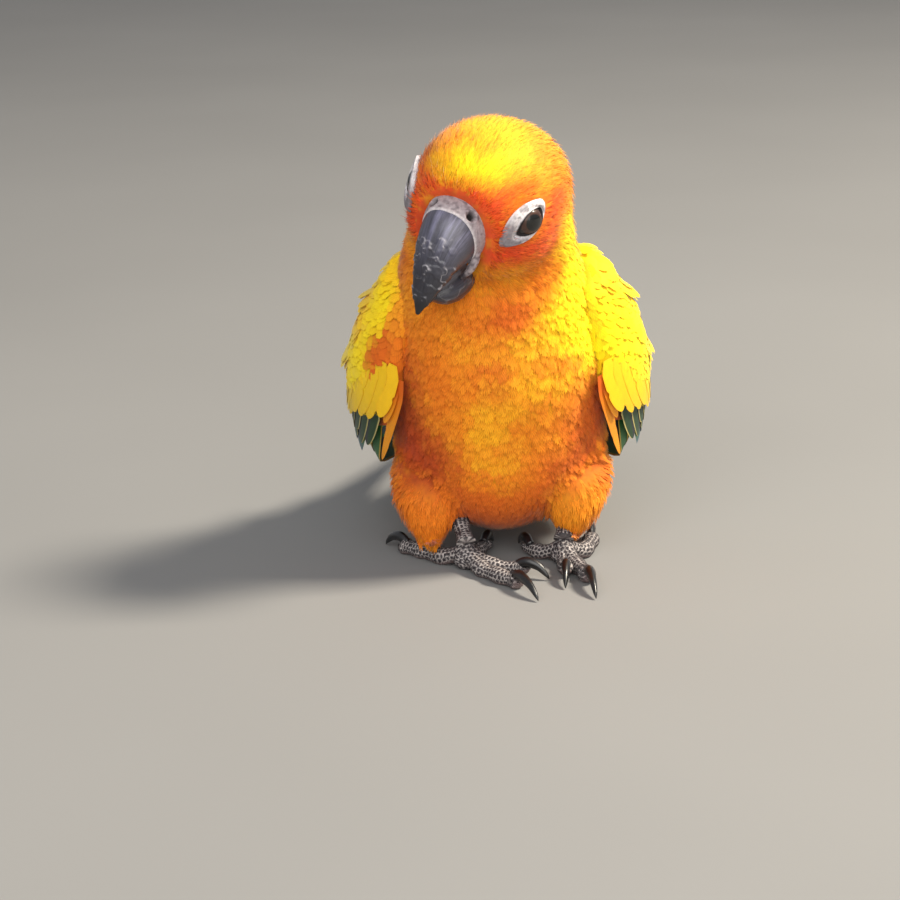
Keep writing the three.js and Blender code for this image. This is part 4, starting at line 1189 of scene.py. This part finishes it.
def gridNormals(grid):
    # Normals of a grid of rings, from the cross product of its two steps
    normal = unit(np.cross(np.gradient(grid, axis=0), np.roll(grid, -1, 1) - np.roll(grid, 1, 1)))
    centre = grid.mean(1, keepdims=True)
    return np.where(((grid - centre) * normal).sum(-1, keepdims=True).mean() < 0, -normal, normal)


def upperBillPart():
    # Growth lines along the horn, short broken steps where it flakes, and a dark polished tip, with a painted
    # bluish sheen over the top and painted shadow along the underside
    grid, t, angle = billGrid(upperBill, upperBill["cereEnd"] - 0.02, 1, 150, 144)
    normal = gridNormals(grid)
    fibres = noise(np.stack([np.cos(angle) * 9, np.sin(angle) * 9, t * 3], -1), 0.5, 31) - 0.5
    broken = smooth((noise(grid, 1.5, 35) - 0.45) / 0.15)
    broken = broken * smooth((t - 0.42) / 0.15) * smooth((0.93 - t) / 0.05)
    stage = 9 * t + 1.5 * noise(grid, 3.0, 33) + 0.9 * noise(grid, 1.0, 34)
    stage = stage - np.floor(stage)
    chip = np.exp(-(np.minimum(stage, 1 - stage) / 0.07) ** 2) * broken
    under = smooth((-np.cos(angle) - 0.6) / 0.2)
    ragged = under * smooth(3 * noise(grid, 0.9, 36) - 1.1) * smooth((0.9 - t) / 0.1)
    grid = grid + normal * (0.06 * fibres + (0.2 * (1 - stage) + 0.08) * broken - 0.1 * ragged)[..., None]
    # Painted sheen: the growth streaks lit bluish over the top of the bill, fading before the tip
    sheen = smooth(1.4 * fibres + 0.45) * smooth(1.6 * np.cos(angle - 0.2) - 0.5) * smooth((0.72 - t) / 0.3)
    colour = mix(billColours["slate"], billColours["paintedSheenViolet"], sheen[..., None])
    colour = mix(colour, billColours["dark"], smooth((t - 0.5) / 0.3)[..., None])
    colour = mix(colour, billColours["tip"], smooth((t - 0.86) / 0.08)[..., None])
    # Painted shadow: the underside darkened towards the tip's near black
    shadow = 0.75 * smooth((-np.cos(angle) - 0.1) / 0.4) * smooth((t - 0.36) / 0.1)
    colour = mix(colour, billColours["tip"], shadow[..., None])
    colour = mix(colour, billColours["flake"], (0.7 * np.maximum(chip, ragged))[..., None])
    return tube(onHead(grid), colour=colour, vane=np.stack([t * 40, angle * 5], -1))


def cerePart():
    # Soft swollen skin over the bill's root, with a ringed pit for each nostril
    grid, t, angle = billGrid(upperBill, 0, upperBill["cereEnd"], 70, 150)
    normal = gridNormals(grid)
    swell = 0.55 * np.sin(np.pi * np.clip(t / upperBill["cereEnd"], 0, 1)) ** 0.5
    pit, ring = np.zeros_like(t), np.zeros_like(t)
    for side in (1, -1):
        away = np.linalg.norm(grid - (side * nostril["x"], -nostril["forward"], nostril["up"]), axis=-1)
        pit += smooth(2.4 - 2 * away / nostril["radius"])
        ring += np.exp(-((away - 1.35 * nostril["radius"]) / 0.4) ** 2)
    grain = 0.6 * noise(grid, 0.45, 41) + 0.4 * noise(grid, 1.3, 42) - 0.5
    grid = grid + normal * (swell + 0.2 * ring - 1.3 * pit + 0.12 * grain)[..., None]
    colour = mix(billColours["cereDark"], billColours["cere"], smooth(2.2 * grain + 0.8)[..., None])
    colour = mix(colour, billColours["cerePale"], (0.8 * smooth((t - 0.275) / 0.02))[..., None])
    # Near black in the pits: painted shade inside the nostrils
    colour = mix(colour, billColours["pit"], np.clip(pit, 0, 1)[..., None])
    cere = tube(onHead(grid), colour=colour)
    return joined([cere, gapeFold(1), gapeFold(-1)])


def gapeFold(side):
    # Swollen fold of bare skin from the cere's foot down to the root of the lower mandible
    t, angle = ringGrid(0, 1, 40, 36)
    path = along(gapePath, t)
    thick = 1.05 * np.sin(np.pi * np.clip(0.35 + 0.55 * t, 0, 1)) ** 0.6
    around = np.stack([np.cos(angle), np.sin(angle), 0 * t], -1)
    grain = noise(path + around, 0.6, 43) - 0.5
    grid = (path + around * (thick + 0.2 * grain)[..., None]) * (side, 1, 1)
    colour = mix(billColours["cereDark"], billColours["cere"], smooth(2.2 * grain + 0.7)[..., None])
    colour = mix(colour, billColours["dark"], (0.7 * smooth((t - 0.55) / 0.3))[..., None])
    return tube(onHead(grid), colour=colour)


def lowerBillPart():
    # Blunt cup of horn with fine growth lines and flaking rims
    grid, t, angle = billGrid(lowerBill, 0, 1, 70, 90)
    normal = gridNormals(grid)
    fibres = noise(np.stack([np.cos(angle) * 8, np.sin(angle) * 8, t * 3], -1), 0.6, 51) - 0.5
    sheet = noise(grid, 1.8, 53)
    rim = np.exp(-((sheet - 0.5) / 0.03) ** 2)
    grid = grid + normal * (0.08 * fibres + 0.08 * rim)[..., None]
    colour = mix(billColours["dark"], billColours["slate"], smooth(1.5 * fibres + 0.4)[..., None])
    edge = smooth((np.cos(angle) - 0.75) / 0.2)
    colour = mix(colour, billColours["flake"], (0.55 * edge + 0.25 * rim)[..., None])
    return tube(onHead(grid), colour=colour, vane=np.stack([t * 20, angle * 5], -1))


meshPiece("bill_upper", upperBillPart(), billHorn, ("upper_bill",))
meshPiece("bill_lower", lowerBillPart(), billHorn, ("lower_bill",))
meshPiece("bill_cere", cerePart(), bareSkin, ("cere",))


# Eyes and the bare skin round them

eyeColours = {name: hexColour(code) for name, code in {
    "pupil": "#050505", "iris": "#3b2218", "irisEdge": "#160e0b", "white": "#cfc9cc", "grey": "#6b6369",
    "lid": "#1d1719",
}.items()}


def eyeBall(side):
    # Sphere with a slightly bulging cornea, coloured by the angle from its axis
    _, out, centre = eyePlace(side)
    long, short = almondAxes(side)
    turnBy, angle = ringGrid(0.004, np.pi - 0.01, 110, 64)
    direction = (out * np.cos(turnBy)[..., None] + long * (np.sin(turnBy) * np.cos(angle))[..., None]
                 + short * (np.sin(turnBy) * np.sin(angle))[..., None])
    bulge = 0.25 * smooth((0.75 - turnBy) / 0.3)
    grid = centre + direction * (eye["ball"] + bulge)[..., None]
    colour = mix(eyeColours["pupil"], eyeColours["iris"], smooth((turnBy - 0.38) / 0.04)[..., None])
    colour = mix(colour, eyeColours["irisEdge"], smooth((turnBy - 0.62) / 0.08)[..., None])
    return tube(onHead(grid), colour=colour)


def eyeRing(side):
    # Bare skin between the lids and the almond's border. Its inner rim follows the ball, so the corners
    # sink, and it rises from there to its height over the skull; the border is tucked in
    surface, out, centre = eyePlace(side)
    long, short = almondAxes(side)
    s, angle = (grid.T for grid in ringGrid(0, 1, 44, 160))
    top = np.clip(s / 0.78, 0, 1)
    tucked = smooth((top - 0.85) / 0.15)
    pinch = 1 - 0.32 * np.cos(angle) ** 2
    lidX = eye["opening"][0] * np.cos(angle)
    lidY = eye["opening"][1] * np.sin(angle) * (1 - 0.2 * np.cos(angle) ** 2)
    x = mix(lidX, 1.03 * (almond["half"][0] * np.cos(angle) + almond["shift"][0]), top)
    y = mix(lidY, 1.03 * (almond["half"][1] * np.sin(angle) * pinch + almond["shift"][1]), top)
    plane = surface + long * x[..., None] + short * y[..., None] + out * 1.0
    down = np.zeros_like(x)
    for _ in range(6):
        down = down + skullLevel(plane - out * down[..., None])
    ball = eye["proud"][side] - eye["ball"] + np.sqrt(np.maximum(eye["ball"] ** 2 - x ** 2 - y ** 2, 0.2))
    folds = 0.09 * np.sin(24 * top) * np.exp(-2.5 * top) + 0.1 * (noise(plane, 0.8, 61) - 0.5)
    lid = 0.28 * np.exp(-((top - 0.12) / 0.1) ** 2)
    height = 1.0 - down + (almond["proud"] + folds) * (1 - tucked) - 0.3 * tucked
    height = mix(ball + 0.12, height, smooth(top / 0.45)) + lid
    under = smooth((s - 0.78) / 0.22)
    back = np.where(s > 0.78, 1.3 * np.sin(np.pi * under) + 0.3 * under, 0)
    lip = surface + long * lidX[..., None] + short * lidY[..., None]
    grid = plane + out * (height - 1.0)[..., None]
    grid = mix(grid, lip - out * 0.9, under[..., None]) - out * back[..., None]
    # Greyer towards the front corner: painted shade
    front = smooth((-np.cos(angle) - 0.1) / 0.7) * smooth((top - 0.15) / 0.4)
    colour = mix(eyeColours["white"], eyeColours["grey"], (0.85 * front)[..., None])
    colour = mix(colour, eyeColours["grey"], (0.6 * smooth(3 * noise(grid, 0.7, 63) - 1.5))[..., None])
    colour = mix(colour, eyeColours["lid"], smooth((0.2 - top) / 0.08)[..., None])
    return ringMesh(onHead(grid), colour=colour)


for name, side in (("left", 1), ("right", -1)):
    meshPiece(f"eye_ball_{name}", eyeBall(side), cornea, (f"eye_{name}",))
    meshPiece(f"eye_skin_{name}", eyeRing(side), bareSkin, (f"eye_ring_{name}",))


# Feet: scaled toes and shanks, and polished claws

toeHeight = 2.0
claw = {  # share of the way to the tip and height in mm, and the radii there
    "arch": [(-0.1, 2.9), (0.25, 3.9), (0.62, 3.2), (0.9, 1.5), (1, 0.45)],
    "radii": [1.3, 1.4, 1.1, 0.62, 0.12],
}
feet = {
    "right": {
        "joint": (-9, -6, 4.2), "hock": (-12, 6, 17),
        "toes": {
            "inner_front": {"path": [[-2.6, -10.2], [4, -12.8]], "tip": (10.6, -16.4), "radius": 2.1},
            "outer_front": {"path": [[-5.6, -11.6], [-1.6, -16.8], [2.4, -20.6]], "tip": (7.4, -30.6),
                            "radius": 2.25},
            "outer_rear": {"path": [[-15, -2.6], [-20.2, 2], [-23.9, 5.4]], "tip": (-29, 11.4),
                           "radius": 2.25},
            "inner_rear": {"path": [[-6.4, 0], [-4.4, 4.6]], "tip": (-2.2, 11.2), "radius": 2},
        },
    },
    "left": {
        "joint": (14.8, -4.6, 4.2), "hock": (16.4, 7, 17),
        "toes": {
            "inner_front": {"path": [[14.6, -9.4], [14.9, -13.4]], "tip": (14.2, -22.8), "radius": 2.1},
            "outer_front": {"path": [[17.2, -10], [18.9, -14.8], [19.8, -18.4]], "tip": (21, -30),
                            "radius": 2.25},
            "outer_rear": {"path": [[19.6, -0.8], [21.6, 4], [22.2, 7.6]], "tip": (23, 15.6), "radius": 2.25},
            "inner_rear": {"path": [[9.8, -1.4], [6.6, 1.6]], "tip": (4.2, 9.6), "radius": 2},
        },
    },
}
footColours = {name: hexColour(code) for name, code in {
    "scale": "#332f33", "groove": "#b9b1ae", "pad": "#8a7472", "claw": "#0b0b0d", "clawBase": "#171518",
}.items()}


def limbGrid(points, radii, rows, columns):
    # Rings round a curve through the points, with the length along it, the angle and the way out
    t, angle = ringGrid(0, 1, rows, columns)
    line = along(points, t)
    heading = unit(along(points, np.minimum(t + 0.02, 1)) - along(points, np.maximum(t - 0.02, 0)))
    side = unit(np.stack([-heading[..., 1], heading[..., 0], 0 * t + 0.001], -1))
    up = np.cross(heading, side)
    up = np.where(up[..., 2:].mean() < 0, -up, up)
    out = side * np.sin(angle)[..., None] + up * np.cos(angle)[..., None]
    length = np.linalg.norm(np.diff(along(points, np.linspace(0, 1, 60)), axis=0), axis=1).sum()
    radius = along(radii, t)
    return line, out, radius, t * length, angle


def scales(across, onward, size, seed):
    # Cells on a jittered grid: the distance to the nearest border, 0 in a groove and 1 well inside
    x, y = across / size[0], onward / size[1]
    near, second = np.full(x.shape, 9.0), np.full(x.shape, 9.0)
    for i in (-1, 0, 1):
        for j in (-1, 0, 1):
            cx, cy = np.floor(x) + i, np.floor(y) + j
            jitter = np.stack([cx, cy, 0 * cx + seed], -1) + 0.5
            px = cx + 0.5 + 0.55 * (noise(jitter, 0.37, 71) - 0.5)
            py = cy + 0.5 + 0.5 * (noise(jitter, 0.41, 72) - 0.5) + 0.5 * (np.floor(cx) % 2)
            away = np.hypot(x - px, y - py)
            second = np.where(away < near, near, np.minimum(second, away))
            near = np.minimum(near, away)
    return smooth((second - near) / 0.34)


def scaled(points, radii, rows, columns, knuckles, seed):
    # A toe or shank: swollen knuckles, wide scutes over the top and small scales round the sides
    line, out, radius, onward, angle = limbGrid(points, radii, rows, columns)
    swell = 0.24 * np.cos(2 * np.pi * onward / knuckles) - 0.12
    around = np.where(angle > np.pi, angle - 2 * np.pi, angle) * radius
    inside = scales(around, onward, (1.15, 0.78), seed)
    low = smooth((-np.cos(angle) - 0.35) / 0.4)
    grid = line + out * (radius + swell - 0.3 + 0.3 * inside)[..., None]
    grid[..., 2] = np.maximum(grid[..., 2], 0.02)
    tone = noise(grid, 0.9, 75)
    colour = mix(footColours["groove"], footColours["scale"], smooth((inside - 0.25) / 0.5)[..., None])
    colour = colour * mix(0.75, 1.2, tone)[..., None]
    colour = mix(colour, footColours["pad"], (0.5 * low)[..., None])
    return tube(grid, colour=colour)


def footPart(foot, seed):
    # Toes, the shank down to the joint, and a scaled ball over the joint
    x, y, z = foot["joint"]
    parts = []
    for k, toe in enumerate(foot["toes"].values()):
        last = np.array(toe["path"][-1])
        aim = unit(np.array(toe["tip"]) - last)
        points = [foot["joint"]] + [(*spot, toeHeight) for spot in toe["path"]]
        points.append((*(last + 0.8 * aim), toeHeight + 0.6))
        radii = [0.9 * toe["radius"] + (0.5 if i == 0 else 0.1 * (i % 2)) for i in range(len(points) - 1)]
        radii.append(1.6)
        parts.append(scaled(points, radii, 96, 48, 5.2, seed + k))
    middle = [(hock + joint) / 2 for hock, joint in zip(foot["hock"], foot["joint"])]
    parts.append(scaled([foot["hock"], middle, (x, y, z + 2.2)], [2.7, 2.1, 2.6], 60, 48, 9.0, seed + 7))
    t, angle = ringGrid(0.05, np.pi - 0.05, 40, 56)
    out = np.stack([np.sin(t) * np.cos(angle), np.sin(t) * np.sin(angle), 0.85 * np.cos(t)], -1)
    inside = scales(angle * 3.0, t * 3.3, (1.1, 0.9), seed + 9)
    grid = np.array([x, y, z - 1.7]) + out * (3.3 - 0.25 + 0.25 * inside)[..., None]
    grid[..., 2] = np.maximum(grid[..., 2], 0.02)
    colour = mix(footColours["groove"], footColours["scale"], smooth((inside - 0.25) / 0.5)[..., None])
    parts.append(tube(grid, colour=colour))
    return joined(parts)


def clawPart(toe):
    # Curved cone, deeper than wide, that arches from the toe's end to the floor
    x, y = toe["path"][-1]
    dx, dy = toe["tip"][0] - x, toe["tip"][1] - y
    points = [(x + f * dx, y + f * dy, z) for f, z in claw["arch"]]
    line, out, radius, onward, angle = limbGrid(points, claw["radii"], 60, 32)
    narrow = 1 - 0.2 * np.abs(np.sin(angle)) - 0.12 * np.exp(-((angle - np.pi) / 0.3) ** 2)
    grid = line + out * (radius * narrow)[..., None]
    grid[..., 2] = np.maximum(grid[..., 2], 0.02)
    colour = mix(footColours["clawBase"], footColours["claw"], smooth(onward / 4)[..., None])
    return tube(grid, colour=colour, vane=np.stack([onward, angle * radius * 2], -1))


for number, (name, foot) in enumerate(feet.items()):
    meshPiece(f"foot_scaled_{name}", footPart(foot, 20 * number), scaleSkin,
              (f"foot_{name}", f"shank_{name}"))
    claws = joined([clawPart(toe) for toe in foot["toes"].values()])
    meshPiece(f"claws_{name}", claws, clawHorn, [f"claw_{name}_{toe}" for toe in foot["toes"]])


# Floor, light and camera

def floorMaterial():
    # Pale matt paper sweep
    material, tree, shader = newMaterial("paleFloor", Roughness=0.85, Specular_IOR_Level=0.2)
    place = node(tree, "ShaderNodeTexCoord").outputs["Object"]
    cloud = node(tree, "ShaderNodeTexNoise", Vector=place, Scale=6.0, Detail=2.0).outputs[0]
    tint = node(tree, "ShaderNodeMapRange", _0=cloud, _1=0.0, _2=1.0, _3=0.2, _4=0.23).outputs[0]
    colour = node(tree, "ShaderNodeCombineColor", Red=tint, Green=tint, Blue=tint).outputs[0]
    tree.links.new(colour, shader.inputs["Base Color"])
    return material


floorMesh = bpy.data.meshes.new("floor")
reach = 30.0  # metres each way
floorMesh.from_pydata([(-reach, -reach, 0), (reach, -reach, 0), (reach, reach, 0), (-reach, reach, 0)], [],
                      [(0, 1, 2, 3)])
floorMesh.materials.append(floorMaterial())
floor = bpy.data.objects.new("floor", floorMesh)
bpy.context.collection.objects.link(floor)


def areaLight(name, place, target, size, power, code):
    # A square area light at a place in metres, aimed at a target
    light = bpy.data.lights.new(name, "AREA")
    light.size, light.energy = size, power
    light.color = hexColour(code)
    lamp = bpy.data.objects.new(name, light)
    lamp.location = place
    lamp.rotation_euler = (Vector(target) - Vector(place)).to_track_quat("-Z", "Y").to_euler()
    bpy.context.collection.objects.link(lamp)


aim = (0, -0.05, 0.06)
areaLight("sun", (0.8, -0.1, 1.0), aim, 0.25, 34, "#fff4e0")
areaLight("fill", (-0.3, -1.0, 0.7), aim, 0.9, 9, "#f6f4f0")
areaLight("front", (0.35, -1.0, 0.35), aim, 0.8, 4, "#fffaf2")
world = bpy.data.worlds.new("studio")
world.use_nodes = True
world.node_tree.nodes["Background"].inputs["Color"].default_value = (0.93, 0.95, 1.0, 1)
world.node_tree.nodes["Background"].inputs["Strength"].default_value = 0.42
bpy.context.scene.world = world
bpy.context.scene.view_settings.view_transform = "Standard"


# The camera looks 17.5 degrees down at the bird's breast from just over half a metre away
camera = {"focal": 2373, "frame": 900, "down": 17.5, "roll": 1.4, "place": (-12.4, -549.8, 201.7)}


def makeCamera():
    # Its axes are turned down and then rolled, and its focal length in pixels sets the lens
    down, roll = math.radians(camera["down"]), math.radians(camera["roll"])
    forward = np.array([0, math.cos(down), -math.sin(down)])
    level, upright = np.array([1.0, 0, 0]), np.array([0, math.sin(down), math.cos(down)])
    right = math.cos(roll) * level - math.sin(roll) * upright
    up = math.sin(roll) * level + math.cos(roll) * upright
    data = bpy.data.cameras.new("camera")
    data.sensor_width = 36
    data.lens = camera["focal"] / camera["frame"] * data.sensor_width
    made = bpy.data.objects.new("camera", data)
    place = toRow(np.array(camera["place"]))
    rows = np.column_stack([right, up, -forward, place])
    made.matrix_world = Matrix(rows.tolist() + [[0, 0, 0, 1]])
    bpy.context.collection.objects.link(made)
    bpy.context.scene.camera = made


makeCamera()
